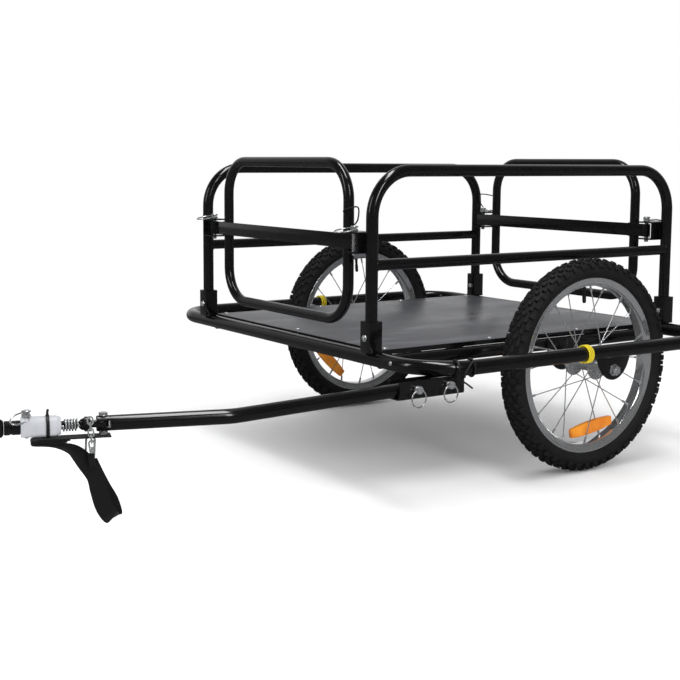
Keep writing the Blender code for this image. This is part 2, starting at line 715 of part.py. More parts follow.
def make_reflector(side, centre):
    """A flat amber lens between the two fans of spokes, with two long arched edges."""
    angle = math.radians(REFLECTOR_ANGLE_LEFT if side > 0 else REFLECTOR_ANGLE_RIGHT)
    lens = box(
        (-REFLECTOR_LENGTH / 2, -REFLECTOR_DEPTH / 2, -REFLECTOR_HEIGHT / 2),
        (REFLECTOR_LENGTH / 2, REFLECTOR_DEPTH / 2, REFLECTOR_HEIGHT / 2),
    )
    spot = centre + Vector((math.cos(angle), 0, math.sin(angle))) * REFLECTOR_RADIUS
    turned_in = Matrix.Translation(spot) @ Matrix.Rotation(-angle - math.pi / 2, 4, "Y")
    lens.data.transform(turned_in)
    for way in (1, -1):
        z = way * (REFLECTOR_HEIGHT / 2 - REFLECTOR_ARC)
        disc = rod((0, -REFLECTOR_DEPTH, z), (0, REFLECTOR_DEPTH, z), REFLECTOR_ARC, REFLECTOR_ARC_SIDES)
        disc.data.transform(turned_in)
        combined(lens, [disc], "INTERSECT")
    place(lens, f"reflector_{side_name(side)}", AMBER)


def make_axle_plate(side, name, inner_face):
    """A hanging plate with a round lower edge, bored for the axle."""
    top = RING_HEIGHT + PLATE_RISE
    low, high = sorted((side * inner_face, side * (inner_face + PLATE_THICKNESS)))
    plate = rod((WHEEL_X, low, top), (WHEEL_X, high, top), PLATE_RADIUS, 32)
    stretch = (top - WHEEL_RADIUS + PLATE_DROP) / PLATE_RADIUS
    plate.data.transform(Matrix.Diagonal((1, 1, stretch, 1)))
    plate.data.transform(Matrix.Translation((0, 0, top - top * stretch)))
    above = box((WHEEL_X - 1, -1, top), (WHEEL_X + 1, 1, 1))
    start = (WHEEL_X, low - PLATE_THICKNESS, WHEEL_RADIUS)
    hole = rod(start, (WHEEL_X, high + PLATE_THICKNESS, WHEEL_RADIUS), AXLE_RADIUS + HOLE_CLEARANCE, 12)
    cut(plate, above, hole)
    place(plate, f"{name}_axle_plate_{side_name(side)}", BLACK)


def make_wheel(side):
    centre = Vector((WHEEL_X, side * WHEEL_Y, WHEEL_RADIUS))
    make_tyre(side, centre)
    make_rim(side, centre)
    make_hub(side, centre)
    make_valve(side, centre)
    make_reflector(side, centre)
    make_axle(side)
    make_axle_plate(side, "inner", INNER_PLATE_Y)
    make_axle_plate(side, "outer", OUTER_PLATE_Y)


def least_self_gap(path, wire, per_turn):
    """The least gap between stretches of a coil that are over half a turn apart."""
    return min(
        (a - b).length - 2 * wire
        for i, a in enumerate(path)
        for b in path[i + per_turn // 2 + 1:]
    )


def make_band(side, x):
    """Three turns of yellow cord round the ring's side tube."""
    per_turn = 24
    radius = RING_RADIUS + BAND_WIRE + 2 * GAP
    count = BAND_LOOPS * per_turn
    path = []
    for i in range(count + 1):
        turn = 2 * math.pi * i / per_turn
        along = x + BAND_PITCH * (i / per_turn - BAND_LOOPS / 2)
        y = side * RING_HALF_WIDTH + radius * math.sin(turn)
        path.append(Vector((along, y, RING_HEIGHT - radius * math.cos(turn))))
    gap = least_self_gap(path, BAND_WIRE, per_turn)
    print("band self gap", side_name(side), round(gap * 1000, 2), "mm")
    place(tube(path, BAND_WIRE, 1), f"yellow_band_{side_name(side)}", YELLOW)


def make_drawbar():
    rear = (DRAWBAR_REAR_X, DRAWBAR_Y, DRAWBAR_REAR_Z)
    end = hitch_point(DRAWBAR_FRONT_RUN)
    bar = tube(bent([rear, BEND_POINT, end], DRAWBAR_BEND, 6), DRAWBAR_RADIUS, 4)
    cutters = [lock_pin_hole(x) for x in LOCK_PIN_XS.values()]
    slot_start = DRAWBAR_FRONT_RUN - SLOT_DEPTH
    slot_width = 2 * DRAWBAR_RADIUS
    cutters.append(hitch_block(slot_start, DRAWBAR_FRONT_RUN + SLOT_DEPTH, slot_width, SLOT_HEIGHT / 2))
    bolt = HITCH_BOLT_RADIUS + HOLE_CLEARANCE
    cutters.append(hitch_rod(HITCH_BOLT_RUN, 2 * DRAWBAR_RADIUS, bolt))
    cut(bar, *cutters)
    place(bar, "drawbar", BLACK)


def hitch_block(start, end, half_width, half_height):
    """A box along the drawbar's front run."""
    block = box((start, -half_width, -half_height), (end, half_width, half_height))
    block.data.transform(Matrix.Translation(BEND_POINT) @ Matrix.Rotation(-DRAWBAR_TURN, 4, "Z"))
    return block


def hitch_rod(run, half_height, radius, sides=12):
    """An upright cylinder on the line of the drawbar's front run."""
    return rod(hitch_point(run, 0, -half_height), hitch_point(run, 0, half_height), radius, sides)


def drawbar_z(x):
    share = (x - DRAWBAR_REAR_X) / (DRAWBAR_BEND_X - DRAWBAR_REAR_X)
    return DRAWBAR_REAR_Z + (DRAWBAR_FRONT_Z - DRAWBAR_REAR_Z) * share


def lock_pin_hole(x):
    reach = 2 * (DRAWBAR_RADIUS + SOCKET_CLEARANCE + SOCKET_WALL)
    z = drawbar_z(x)
    radius = LOCK_PIN_RADIUS + HOLE_CLEARANCE
    return rod((x, DRAWBAR_Y - reach, z), (x, DRAWBAR_Y + reach, z), radius, 12)


def make_socket():
    """A trough under the ring's corner that holds the drawbar's rear end."""
    half = DRAWBAR_RADIUS + SOCKET_CLEARANCE
    top = RING_HEIGHT - RING_RADIUS - GAP
    low = drawbar_z(SOCKET_FRONT_X) - half - SOCKET_WALL
    socket = box(
        (SOCKET_REAR_X, DRAWBAR_Y - half - SOCKET_WALL, low),
        (SOCKET_FRONT_X, DRAWBAR_Y + half + SOCKET_WALL, top),
    )
    hollow = box(
        (SOCKET_REAR_X - 0.01, DRAWBAR_Y - half, low + SOCKET_WALL),
        (SOCKET_FRONT_X + 0.01, DRAWBAR_Y + half, top + 0.01),
    )
    cut(socket, hollow, *[lock_pin_hole(x) for x in LOCK_PIN_XS.values()])
    place(socket, "drawbar_socket", BLACK)
    outside = half + SOCKET_WALL
    for name, x in LOCK_PIN_XS.items():
        foot = (x, DRAWBAR_Y - outside - PIN_TAIL, drawbar_z(x))
        pin = wire_lock_pin(
            foot, (0, 1, 0), 2 * outside + PIN_TAIL + GAP, LOCK_PIN_RADIUS, Vector((1, 0, 0)),
            Vector((0, 0, -1)), LOCK_RING_RADIUS
        )
        place(pin, f"lock_pin_{name}", STEEL)


def make_hitch():
    """A collared tongue that swivels on the drawbar's bolt, a spring on its round end, and the coupler."""
    head = DRAWBAR_RADIUS + GAP
    bolt = hitch_rod(HITCH_BOLT_RUN, head + HITCH_BOLT_HEAD_DEPTH / 2, HITCH_BOLT_RADIUS)
    heads = []
    for way in (1, -1):
        seat = hitch_point(HITCH_BOLT_RUN, 0, way * head)
        heads.append(rod(seat, seat + UP * way * HITCH_BOLT_HEAD_DEPTH, HITCH_BOLT_HEAD, 6))
    place(joined(bolt, *heads), "hitch_bolt", STEEL)

    half = TONGUE_THICKNESS / 2
    tongue = hitch_block(HITCH_BOLT_RUN, BALL_RUN - BALL_RADIUS / 2, TONGUE_HALF_WIDTH, half)
    heel = hitch_rod(HITCH_BOLT_RUN, half, TONGUE_HALF_WIDTH, 16)
    ball = bmesh.new()
    bmesh.ops.create_uvsphere(ball, u_segments=14, v_segments=10, radius=BALL_RADIUS)
    bmesh.ops.translate(ball, vec=hitch_point(BALL_RUN), verts=ball.verts)
    collar = rod(hitch_point(BALL_RUN - COLLAR_LENGTH), hitch_point(BALL_RUN), COLLAR_RADIUS, 16)
    joined(tongue, heel, collar, from_bmesh(ball))
    cut(tongue, hitch_rod(HITCH_BOLT_RUN, TONGUE_THICKNESS, HITCH_BOLT_RADIUS + HOLE_CLEARANCE))
    place(tongue, "hitch_tongue", BLACK)

    path = [hitch_point(SPRING_RUN - 2 * SPRING_WIRE, SPRING_RADIUS)]
    for i in range(SPRING_TURNS * SPRING_STEPS + 1):
        turn = 2 * math.pi * i / SPRING_STEPS
        run = SPRING_RUN + SPRING_LENGTH * i / (SPRING_TURNS * SPRING_STEPS)
        path.append(hitch_point(run, SPRING_RADIUS * math.cos(turn), SPRING_RADIUS * math.sin(turn)))
    path.append(hitch_point(SPRING_RUN + SPRING_LENGTH + 2 * SPRING_WIRE, SPRING_RADIUS))
    print("spring self gap", round(least_self_gap(path, SPRING_WIRE, SPRING_STEPS) * 1000, 2), "mm")
    place(tube(path, SPRING_WIRE, 1), "hitch_spring", STEEL)

    pin_hole = hitch_rod(COUPLER_PIN_RUN, 2 * SLEEVE_RADIUS, COUPLER_PIN_RADIUS + HOLE_CLEARANCE)
    sleeve = rod(hitch_point(SLEEVE_RUN), hitch_point(SLEEVE_RUN + SLEEVE_LENGTH), SLEEVE_RADIUS, 20)
    place(cut(sleeve, pin_hole), "hitch_sleeve", PALE)
    stub = rod(hitch_point(STUB_RUN), hitch_point(STUB_RUN + STUB_LENGTH), STUB_RADIUS, 16)
    place(stub, "coupler_stub", BLACK)

    plate = hitch_block(COUPLER_RUN, COUPLER_RUN + COUPLER_LENGTH, COUPLER_THICKNESS / 2, COUPLER_WIDTH / 2)
    hole_run = COUPLER_RUN + COUPLER_LENGTH - COUPLER_HOLE_INSET
    start = hitch_point(hole_run, -COUPLER_THICKNESS)
    axle_hole = rod(start, hitch_point(hole_run, COUPLER_THICKNESS), COUPLER_HOLE_RADIUS, 16)
    place(cut(plate, axle_hole), "coupler_plate", BLACK)

    foot = hitch_point(COUPLER_PIN_RUN, 0, -SLEEVE_RADIUS - COUPLER_PIN_TAIL)
    length = 2 * SLEEVE_RADIUS + COUPLER_PIN_TAIL + GAP
    hang = (SIDEWAYS * 0.70 + FORWARD * 0.60 - UP * 0.42).normalized()
    across = hang.cross(UP).normalized()
    pin = wire_lock_pin(foot, UP, length, COUPLER_PIN_RADIUS, across, hang, LOCK_RING_RADIUS)
    place(pin, "coupler_pin", STEEL)


def ribbon(stations):
    """A flat band through (point, width direction) stations."""
    shape = bmesh.new()
    rings = []
    for i, (point, width) in enumerate(stations):
        before = stations[max(i - 1, 0)][0]
        after = stations[min(i + 1, len(stations) - 1)][0]
        thick = (after - before).normalized().cross(width).normalized() * STRAP_THICKNESS / 2
        half = width.normalized() * STRAP_WIDTH / 2
        signs = ((1, 1), (1, -1), (-1, -1), (-1, 1))
        rings.append([shape.verts.new(point + a * half + b * thick) for a, b in signs])
    for first, second in zip(rings, rings[1:]):
        for j in range(4):
            shape.faces.new((first[j], first[(j + 1) % 4], second[(j + 1) % 4], second[j]))
    shape.faces.new(rings[0])
    shape.faces.new(rings[-1])
    return from_bmesh(shape)


def make_strap():
    """Webbing from the swivel bolt forward under the sleeve, folded back, and hanging in one long bight."""
    under = -DRAWBAR_RADIUS - HITCH_BOLT_HEAD_DEPTH - 3 * GAP - STRAP_THICKNESS / 2
    lean = (FORWARD * 0.75 - UP * 0.66).normalized()
    shares = (
        (-0.102, 0.0, 0.0, 0.0),
        (0.305, 0.0, 0.0, 0.0),
        (0.812, 0.0, 0.0, 0.0),
        (0.97, 0.0, 0.009, 0.0),
        (1.0, 0.0, 0.034, 0.0),
        (0.97, 0.0, 0.06, 0.0),
        (0.792, 0.0, 0.073, 0.0),
        (0.635, 0.143, 0.09, 0.12),
        (0.457, 0.571, 0.137, 0.35),
        (0.342, 0.857, 0.218, 0.6),
        (0.247, 1.0, 0.325, 0.85),
        (0.131, 1.0, 0.483, 1.0),
        (0.085, 1.0, 0.655, 1.0),
        (0.032, 1.0, 0.825, 1.0),
        (-0.035, 0.857, 0.94, 1.0),
        (-0.097, 0.286, 1.0, 1.0),
        (-0.132, -0.429, 0.979, 1.0),
        (-0.081, -0.857, 0.825, 1.0),
        (0.025, -1.0, 0.655, 1.0),
        (0.122, -1.0, 0.483, 1.0),
        (0.203, -1.0, 0.325, 1.0),
    )
    stations = []
    for run, side, drop, twist in shares:
        point = hitch_point(HITCH_BOLT_RUN + run * STRAP_REACH, side * STRAP_SPREAD, under - drop * STRAP_DROP)
        stations.append((point, (SIDEWAYS * (1 - twist) + lean * twist).normalized()))
    place(ribbon(stations), "safety_strap", WEBBING)
    beside = -STRAP_SPREAD - STRAP_THICKNESS / 2 - HOOK_WIRE - GAP
    top = hitch_point(HITCH_BOLT_RUN + HOOK_RUN, beside, under - STRAP_THICKNESS / 2 - HOOK_WIRE - GAP)
    low = hitch_point(HITCH_BOLT_RUN + HOOK_RUN + HOOK_LEAN, beside, under - HOOK_LENGTH)
    wide = FORWARD * HOOK_HALF_WIDTH
    corners = [top - wide, top + wide, low + wide, low - wide]
    place(tube(bent(corners, HOOK_BEND, 3, closed=True), HOOK_WIRE, 1, closed=True), "snap_hook", STEEL)


def main():
    make_ring()
    make_bed()
    for side in (1, -1):
        make_hoop(side)
        make_wheel(side)
        for end in (1, -1):
            make_post_bracket(end, side)
            make_gate_bracket(end, side)
            make_gate_pin(end, side)
    for end in (1, -1):
        make_gate(end)
        make_lanyard(end)
    make_band(1, BAND_X_LEFT)
    make_band(-1, BAND_X_RIGHT)
    make_drawbar()
    make_socket()
    make_hitch()
    make_strap()
    helpers.hide_render = True


main()
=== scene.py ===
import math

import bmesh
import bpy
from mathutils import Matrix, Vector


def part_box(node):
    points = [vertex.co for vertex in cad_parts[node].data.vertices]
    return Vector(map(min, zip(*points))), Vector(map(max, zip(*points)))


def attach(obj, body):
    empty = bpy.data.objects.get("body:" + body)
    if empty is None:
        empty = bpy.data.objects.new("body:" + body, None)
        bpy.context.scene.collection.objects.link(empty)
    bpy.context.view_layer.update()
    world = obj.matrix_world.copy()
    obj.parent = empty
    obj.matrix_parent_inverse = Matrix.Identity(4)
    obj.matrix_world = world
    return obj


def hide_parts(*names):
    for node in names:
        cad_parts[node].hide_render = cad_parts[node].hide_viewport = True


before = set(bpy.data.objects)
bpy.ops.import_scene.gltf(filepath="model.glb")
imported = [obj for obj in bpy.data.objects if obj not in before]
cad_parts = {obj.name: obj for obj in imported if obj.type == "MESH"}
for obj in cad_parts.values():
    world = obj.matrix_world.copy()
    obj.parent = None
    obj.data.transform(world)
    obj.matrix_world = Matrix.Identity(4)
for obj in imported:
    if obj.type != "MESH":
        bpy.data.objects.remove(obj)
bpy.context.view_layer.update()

# %% [markdown]
# # Dressing a bicycle cargo trailer
# The trailer is bent steel tube with a gloss black powder coat. A ring of tube runs round both wheels,
# a board lies inside it, two hoops and two swinging gates stand round the board, and a drawbar
# carries a sprung hitch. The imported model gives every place. This file gives every surface.
# Lengths are metres: +X points to the bicycle, +Y to the drawbar's side and +Z up.

ring_low, ring_high = (Vector(corner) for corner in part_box("ring_frame"))
SHIFT = Vector(((ring_low.x + ring_high.x) / 2, 0, 0))
UP = Vector((0, 0, 1))
ENDS = ((1, "front"), (-1, "rear"))
SIDES = ((1, "left"), (-1, "right"))
print("the ring's centre lies at", tuple(round(value, 4) for value in SHIFT))

# %% [markdown]
# ## The camera
# A photograph can be undone: tubes whose real sizes are known fix where the lens stood. It stood a
# little over half a metre high, ahead of the trailer and to its left. The horizon lies high in the
# picture, so the lens is shifted and the camera isn't tilted more than it was.

# %% Camera
CAMERA_SPOT = Vector((1.5297, 1.9071, 0.564))
CAMERA_AIM = math.radians(4.93)
CAMERA_PITCH = -0.1195
CAMERA_ROLL = 0.0053
FOCAL_PIXELS = 1202.2
FRAME_PIXELS = 680
PRINCIPAL_X = 329.4
PRINCIPAL_Y = 305.4

heading = math.atan2(-CAMERA_SPOT.y, -CAMERA_SPOT.x) + CAMERA_AIM
forward = Vector((math.cos(heading) * math.cos(CAMERA_PITCH), math.sin(heading) * math.cos(CAMERA_PITCH),
                  math.sin(CAMERA_PITCH)))
lens = bpy.data.cameras.new("photo_camera")
lens.sensor_width = 36
lens.lens = lens.sensor_width * FOCAL_PIXELS / FRAME_PIXELS
lens.shift_x = (FRAME_PIXELS / 2 - PRINCIPAL_X) / FRAME_PIXELS
lens.shift_y = (PRINCIPAL_Y - FRAME_PIXELS / 2) / FRAME_PIXELS
camera = bpy.data.objects.new("photo_camera", lens)
facing = forward.to_track_quat("-Z", "Y").to_matrix().to_4x4()
camera.matrix_world = Matrix.Translation(CAMERA_SPOT + SHIFT) @ facing @ Matrix.Rotation(CAMERA_ROLL, 4, "Z")
bpy.context.scene.collection.objects.link(camera)
bpy.context.scene.camera = camera
print("camera lens", round(lens.lens, 2), "mm")

# %% [markdown]
# ## Helpers for materials
# A colour is written as the hex value that a paint program shows and made linear by one function.
# One more function adds a node, sets it and links it, so that a material reads as a list.

# %% Colour and node helpers
def linear(code):
    """An sRGB hex colour as linear red, green, blue and alpha."""
    shares = [int(code[i:i + 2], 16) / 255 for i in (1, 3, 5)]
    return [c / 12.92 if c <= 0.04045 else ((c + 0.055) / 1.055) ** 2.4 for c in shares] + [1.0]


def node(tree, kind, settings=None, **sockets):
    """Adds a shader node. A socket named s6 is the one with that number."""
    made = tree.nodes.new("ShaderNode" + kind)
    for name, value in (settings or {}).items():
        setattr(made, name, value)
    for name, value in sockets.items():
        numbered = name[0] == "s" and name[1:].isdigit()
        socket = made.inputs[int(name[1:]) if numbered else name.replace("_", " ")]
        if isinstance(value, bpy.types.NodeSocket):
            tree.links.new(value, socket)
        else:
            socket.default_value = value
    return made


def material(name, **sockets):
    """A Principled material, with the sockets that are the same all over the surface."""
    made = bpy.data.materials.new(name)
    made.use_nodes = True
    shader = made.node_tree.nodes["Principled BSDF"]
    for socket, value in sockets.items():
        shader.inputs[socket.replace("_", " ")].default_value = value
    return made, made.node_tree

def surfaced(made, colour, bump, rough=None):
    """Links a colour, a bump and a roughness to a material's shader."""
    tree = made.node_tree
    shader = tree.nodes["Principled BSDF"]
    tree.links.new(colour.outputs[COLOUR_OUT], shader.inputs["Base Color"])
    tree.links.new(bump.outputs["Normal"], shader.inputs["Normal"])
    if rough is not None:
        tree.links.new(rough.outputs["Result"], shader.inputs["Roughness"])
    return made


RGBA = {"data_type": "RGBA"}
COLOUR_OUT = 2
NOISE_SPAN = {"From_Min": 0.3, "From_Max": 0.7}  # noise seldom leaves this span


# %% [markdown]
# ## Gloss black powder coat
# Powder coat is a baked plastic skin. It flows into soft orange peel a millimetre or two wide, so a
# lamp's reflection has a slightly wavy edge. Its roughness drifts where hands have wiped it.

# %% Powder coat
def powder_coat():
    peel_size = 0.004  # real peel is 1 to 2 mm, drawn coarser so that it shows from two metres
    wipe_size = 0.07
    made, tree = material("gloss_black_powder_coat", Coat_Weight=0.5, Coat_Roughness=0.04)
    spot = node(tree, "TexCoord").outputs["Object"]
    peel = node(tree, "TexNoise", Vector=spot, Scale=1 / peel_size, Detail=1.0)
    wipe = node(tree, "TexNoise", Vector=spot, Scale=1 / wipe_size, Detail=4.0)
    grit = node(tree, "TexNoise", Vector=spot, Scale=1 / 0.0012, Detail=0.0)
    rough = node(tree, "MapRange", Value=wipe.outputs["Fac"], **NOISE_SPAN, To_Min=0.12, To_Max=0.24)
    colour = node(tree, "Mix", RGBA, s0=wipe.outputs["Fac"], s6=linear("#050505"), s7=linear("#0c0c0d"))
    fleck = node(tree, "MapRange", Value=grit.outputs["Fac"], From_Min=0.72, From_Max=0.8,
                 To_Min=0.0, To_Max=0.35)
    dusty = node(tree, "Mix", RGBA, s0=fleck.outputs["Result"], s6=colour.outputs[COLOUR_OUT],
                 s7=linear("#3a3a3c"))
    bump = node(tree, "Bump", Height=peel.outputs["Fac"], Strength=0.12, Distance=0.0003)
    return surfaced(made, dusty, bump, rough)


BLACK = powder_coat()

# %% [markdown]
# ## Film-faced board
# The bed is plywood under a phenolic film. The film is dark grey with a fine pressed mesh. Long, faint,
# paler streaks on it are painted sheen: they stand for the film's reflection. The streaks run along the
# trailer, so their noise is stretched on X.

# %% Board
def film_board():
    mesh_pitch = 0.005  # the real mesh is about 2 mm, drawn coarser so that it shows
    made, tree = material("film_faced_plywood", Specular_IOR_Level=0.45)
    spot = node(tree, "TexCoord").outputs["Object"]
    stretched = node(tree, "Mapping", Vector=spot, Scale=(4.0, 26.0, 1.0))
    streak_noise = node(tree, "TexNoise", Vector=stretched.outputs["Vector"], Scale=1.0, Detail=5.0, Roughness=0.6)
    cloud = node(tree, "TexNoise", Vector=spot, Scale=7.0, Detail=4.0)
    # The pale streaks along X are painted sheen on the film.
    sheen_streaks = node(tree, "MapRange", Value=streak_noise.outputs["Fac"], From_Min=0.52, From_Max=0.72)
    ground = node(tree, "Mix", RGBA, s0=cloud.outputs["Fac"], s6=linear("#393a3e"), s7=linear("#4c4d52"))
    sheen_streaked = node(tree, "Mix", RGBA, s0=sheen_streaks.outputs["Result"], s6=ground.outputs[COLOUR_OUT],
                s7=linear("#65666b"))
    rough = node(tree, "MapRange", Value=cloud.outputs["Fac"], **NOISE_SPAN, To_Min=0.26, To_Max=0.4)
    turned = node(tree, "Mapping", Vector=spot, Rotation=(0.0, 0.0, math.pi / 4))
    weft = node(tree, "TexWave", {"bands_direction": "X"}, Vector=turned.outputs["Vector"],
                Scale=0.314 / mesh_pitch)
    warp = node(tree, "TexWave", {"bands_direction": "Y"}, Vector=turned.outputs["Vector"],
                Scale=0.314 / mesh_pitch)
    both = node(tree, "Math", {"operation": "MAXIMUM"}, s0=weft.outputs["Fac"], s1=warp.outputs["Fac"])
    bump = node(tree, "Bump", Height=both.outputs["Value"], Strength=0.15, Distance=0.0003)
    return surfaced(made, sheen_streaked, bump, rough)


BOARD = film_board()

# %% [markdown]
# ## Three bright metals
# Zinc plate on bolts and pins is a soft grey with cloudy spangle. The rims are chromed steel, which is
# nearly a mirror with faint lines round the wheel. Spokes and spring wire are drawn stainless steel.
# One function makes all three, because only the size of the clouds and the gloss differ.

# %% Metals
def bright_metal(name, dark, light, smooth, dull, cloud_size, metallic):
    made, tree = material(name, Metallic=metallic)
    spot = node(tree, "TexCoord").outputs["Object"]
    cloud = node(tree, "TexNoise", Vector=spot, Scale=1 / cloud_size, Detail=3.0)
    colour = node(tree, "Mix", RGBA, s0=cloud.outputs["Fac"], s6=linear(dark), s7=linear(light))
    rough = node(tree, "MapRange", Value=cloud.outputs["Fac"], **NOISE_SPAN, To_Min=smooth, To_Max=dull)
    bump = node(tree, "Bump", Height=cloud.outputs["Fac"], Strength=0.04, Distance=0.0001)
    return surfaced(made, colour, bump, rough)


ZINC = bright_metal("bright_zinc_plate", "#c6c8ca", "#dfe1e2", 0.2, 0.3, 0.006, 0.85)
CHROME = bright_metal("chromed_steel", "#ebedef", "#f6f7f8", 0.05, 0.1, 0.05, 0.9)
STAINLESS = bright_metal("drawn_stainless_wire", "#c9cbce", "#e6e8e9", 0.16, 0.26, 0.006, 0.8)

# %% [markdown]
# ## Tyre rubber
# Rubber filled with carbon black is matt, a little brown, and paler where moulding bloom dries on
# it. Fine rings run round the sidewall from the mould, so the pattern is a wave of the distance from
# the axle. Both wheels share that line, so one material serves both.

# %% Rubber
WHEEL_RADIUS = 0.196
WHEEL_X = -0.072
WHEEL_Y = 0.360
AXLE_SPOT = Vector((WHEEL_X, 0, WHEEL_RADIUS)) + SHIFT


def tyre_rubber():
    ring_pitch = 0.0032
    made, tree = material("moulded_tyre_rubber", Specular_IOR_Level=0.35)
    spot = node(tree, "TexCoord").outputs["Object"]
    centred = node(tree, "Mapping", {"vector_type": "POINT"}, Vector=spot, Location=-AXLE_SPOT)
    flat = node(tree, "VectorMath", {"operation": "MULTIPLY"}, s0=centred.outputs["Vector"],
                s1=(1.0, 0.0, 1.0))
    reach = node(tree, "VectorMath", {"operation": "LENGTH"}, s0=flat.outputs["Vector"])
    count = node(tree, "Math", {"operation": "MULTIPLY"}, s0=reach.outputs["Value"],
                 s1=2 * math.pi / ring_pitch)
    rings = node(tree, "Math", {"operation": "SINE"}, s0=count.outputs["Value"])
    bloom = node(tree, "TexNoise", Vector=spot, Scale=60.0, Detail=6.0, Roughness=0.65)
    colour = node(tree, "Mix", RGBA, s0=bloom.outputs["Fac"], s6=linear("#0c0c0d"), s7=linear("#1f1f20"))
    rough = node(tree, "MapRange", Value=bloom.outputs["Fac"], **NOISE_SPAN, To_Min=0.58, To_Max=0.82)
    grain = node(tree, "TexNoise", Vector=spot, Scale=1 / 0.0015, Detail=2.0)
    relief = node(tree, "Math", {"operation": "MULTIPLY_ADD"}, s0=rings.outputs["Value"], s1=0.35,
                  s2=grain.outputs["Fac"])
    bump = node(tree, "Bump", Height=relief.outputs["Value"], Strength=0.3, Distance=0.0004)
    return surfaced(made, colour, bump, rough)


TYRE = tyre_rubber()

# %% [markdown]
# ## Plastics
# The reflectors are acrylic, moulded at the back with rows of small prisms that throw light back. The
# sleeve on the hitch is pale nylon, the ties are black nylon and the valve is plain rubber. They are
# all one recipe: a coloured plastic with faint clouds and a grain of its own size.

# %% Plastics
def plastic(name, dark, light, smooth, dull, grain_size, relief):
    made, tree = material(name)
    spot = node(tree, "TexCoord").outputs["Object"]
    cloud = node(tree, "TexNoise", Vector=spot, Scale=45.0, Detail=4.0)
    grain = node(tree, "TexNoise", Vector=spot, Scale=1 / grain_size, Detail=2.0)
    colour = node(tree, "Mix", RGBA, s0=cloud.outputs["Fac"], s6=linear(dark), s7=linear(light))
    rough = node(tree, "MapRange", Value=cloud.outputs["Fac"], **NOISE_SPAN, To_Min=smooth, To_Max=dull)
    bump = node(tree, "Bump", Height=grain.outputs["Fac"], Strength=relief, Distance=0.0004)
    return surfaced(made, colour, bump, rough)


NYLON = plastic("pale_turned_nylon", "#a6a8ad", "#c2c4c9", 0.3, 0.45, 0.002, 0.1)
TIE = plastic("black_moulded_nylon", "#0b0b0c", "#1b1b1c", 0.35, 0.5, 0.001, 0.2)
VALVE = plastic("valve_rubber", "#0d0d0d", "#1c1b1b", 0.5, 0.7, 0.001, 0.2)


def reflector_acrylic():
    prism = 0.004  # real prisms are about 2 mm, drawn coarser so that they show
    made, tree = material("amber_prism_acrylic", Coat_Weight=0.6, Coat_Roughness=0.04, Roughness=0.28)
    spot = node(tree, "TexCoord").outputs["Object"]
    cells = node(tree, "TexVoronoi", {"distance": "CHEBYCHEV"}, Vector=spot, Scale=1 / prism, Randomness=0.0)
    depth = node(tree, "TexNoise", Vector=spot, Scale=28.0, Detail=2.0)
    # Each prism is painted lighter in its middle and darker at its edges: painted glints and shade on the
    # prisms.
    prism_glints = node(tree, "Mix", RGBA, s0=cells.outputs["Distance"], s6=linear("#ffab2e"), s7=linear("#e2730a"))
    deep = node(tree, "MapRange", Value=depth.outputs["Fac"], From_Min=0.42, From_Max=0.62, To_Max=0.7)
    colour = node(tree, "Mix", RGBA, s0=deep.outputs["Result"], s6=prism_glints.outputs[COLOUR_OUT],
                  s7=linear("#d9700c"))
    bump = node(tree, "Bump", Height=cells.outputs["Distance"], Strength=0.6, Distance=0.0008)
    return surfaced(made, colour, bump)


AMBER = reflector_acrylic()

# %% [markdown]
# ## Cloth and cord
# Webbing and cord have a pattern that follows the piece, so these two materials read the UV map. The
# map is in metres, along the piece and across it, and each rib or strand is sized in millimetres.

# %% Webbing and twisted cord
def webbing():
    rib = 0.0022  # a rib of nylon webbing is about 1.2 mm, drawn coarser so that it shows
    made, tree = material("woven_nylon_webbing", Sheen_Weight=0.08, Sheen_Roughness=0.5)
    along = node(tree, "UVMap").outputs["UV"]
    weft = node(tree, "TexWave", {"bands_direction": "X"}, Vector=along, Scale=0.314 / rib)
    warp = node(tree, "TexWave", {"bands_direction": "DIAGONAL"}, Vector=along, Scale=0.314 / rib)
    both = node(tree, "Math", {"operation": "MULTIPLY"}, s0=weft.outputs["Fac"], s1=warp.outputs["Fac"])
    fuzz = node(tree, "TexNoise", Vector=along, Scale=300.0, Detail=4.0)
    rib_shade_and_fuzz = node(tree, "Math", {"operation": "MULTIPLY"}, s0=both.outputs["Value"], s1=fuzz.outputs["Fac"])
    # Between the ribs the webbing is painted darker, as painted shade, and the fuzz varies its tone at
    # random.
    colour = node(tree, "Mix", RGBA, s0=rib_shade_and_fuzz.outputs["Value"], s6=linear("#070708"), s7=linear("#171718"))
    rough = node(tree, "MapRange", Value=fuzz.outputs["Fac"], To_Min=0.75, To_Max=0.95)
    bump = node(tree, "Bump", Height=both.outputs["Value"], Strength=0.5, Distance=0.0005)
    return surfaced(made, colour, bump, rough)


def twisted_cord(name, valley_shade, crest, strand):
    made, tree = material(name)
    along = node(tree, "UVMap").outputs["UV"]
    slant = node(tree, "Mapping", Vector=along, Rotation=(0.0, 0.0, math.radians(35)))
    twist = node(tree, "TexWave", {"bands_direction": "X"}, Vector=slant.outputs["Vector"],
                 Scale=0.314 / strand)
    fuzz = node(tree, "TexNoise", Vector=along, Scale=500.0, Detail=3.0)
    # The valleys between strands are painted darker: painted shade.
    colour = node(tree, "Mix", RGBA, s0=twist.outputs["Fac"], s6=linear(valley_shade), s7=linear(crest))
    rough = node(tree, "MapRange", Value=fuzz.outputs["Fac"], To_Min=0.35, To_Max=0.65)
    bump = node(tree, "Bump", Height=twist.outputs["Fac"], Strength=0.6, Distance=0.0005)
    return surfaced(made, colour, bump, rough)


WEBBING = webbing()
YELLOW = twisted_cord("yellow_twisted_cord", "#c9a800", "#f4e52a", 0.0022)
CORD = twisted_cord("black_twisted_cord", "#070707", "#202022", 0.0016)
print("materials", len(bpy.data.materials))

# %% [markdown]
# ## Helpers for shapes
# Nearly every piece here is a tube, a turned part or a folded plate, so four helpers make them.
# A tube is one circle that is extruded from point to point and turned to face along its path. While
# it grows, each new vertex notes how far along and how far round it is, which gives the UV map.

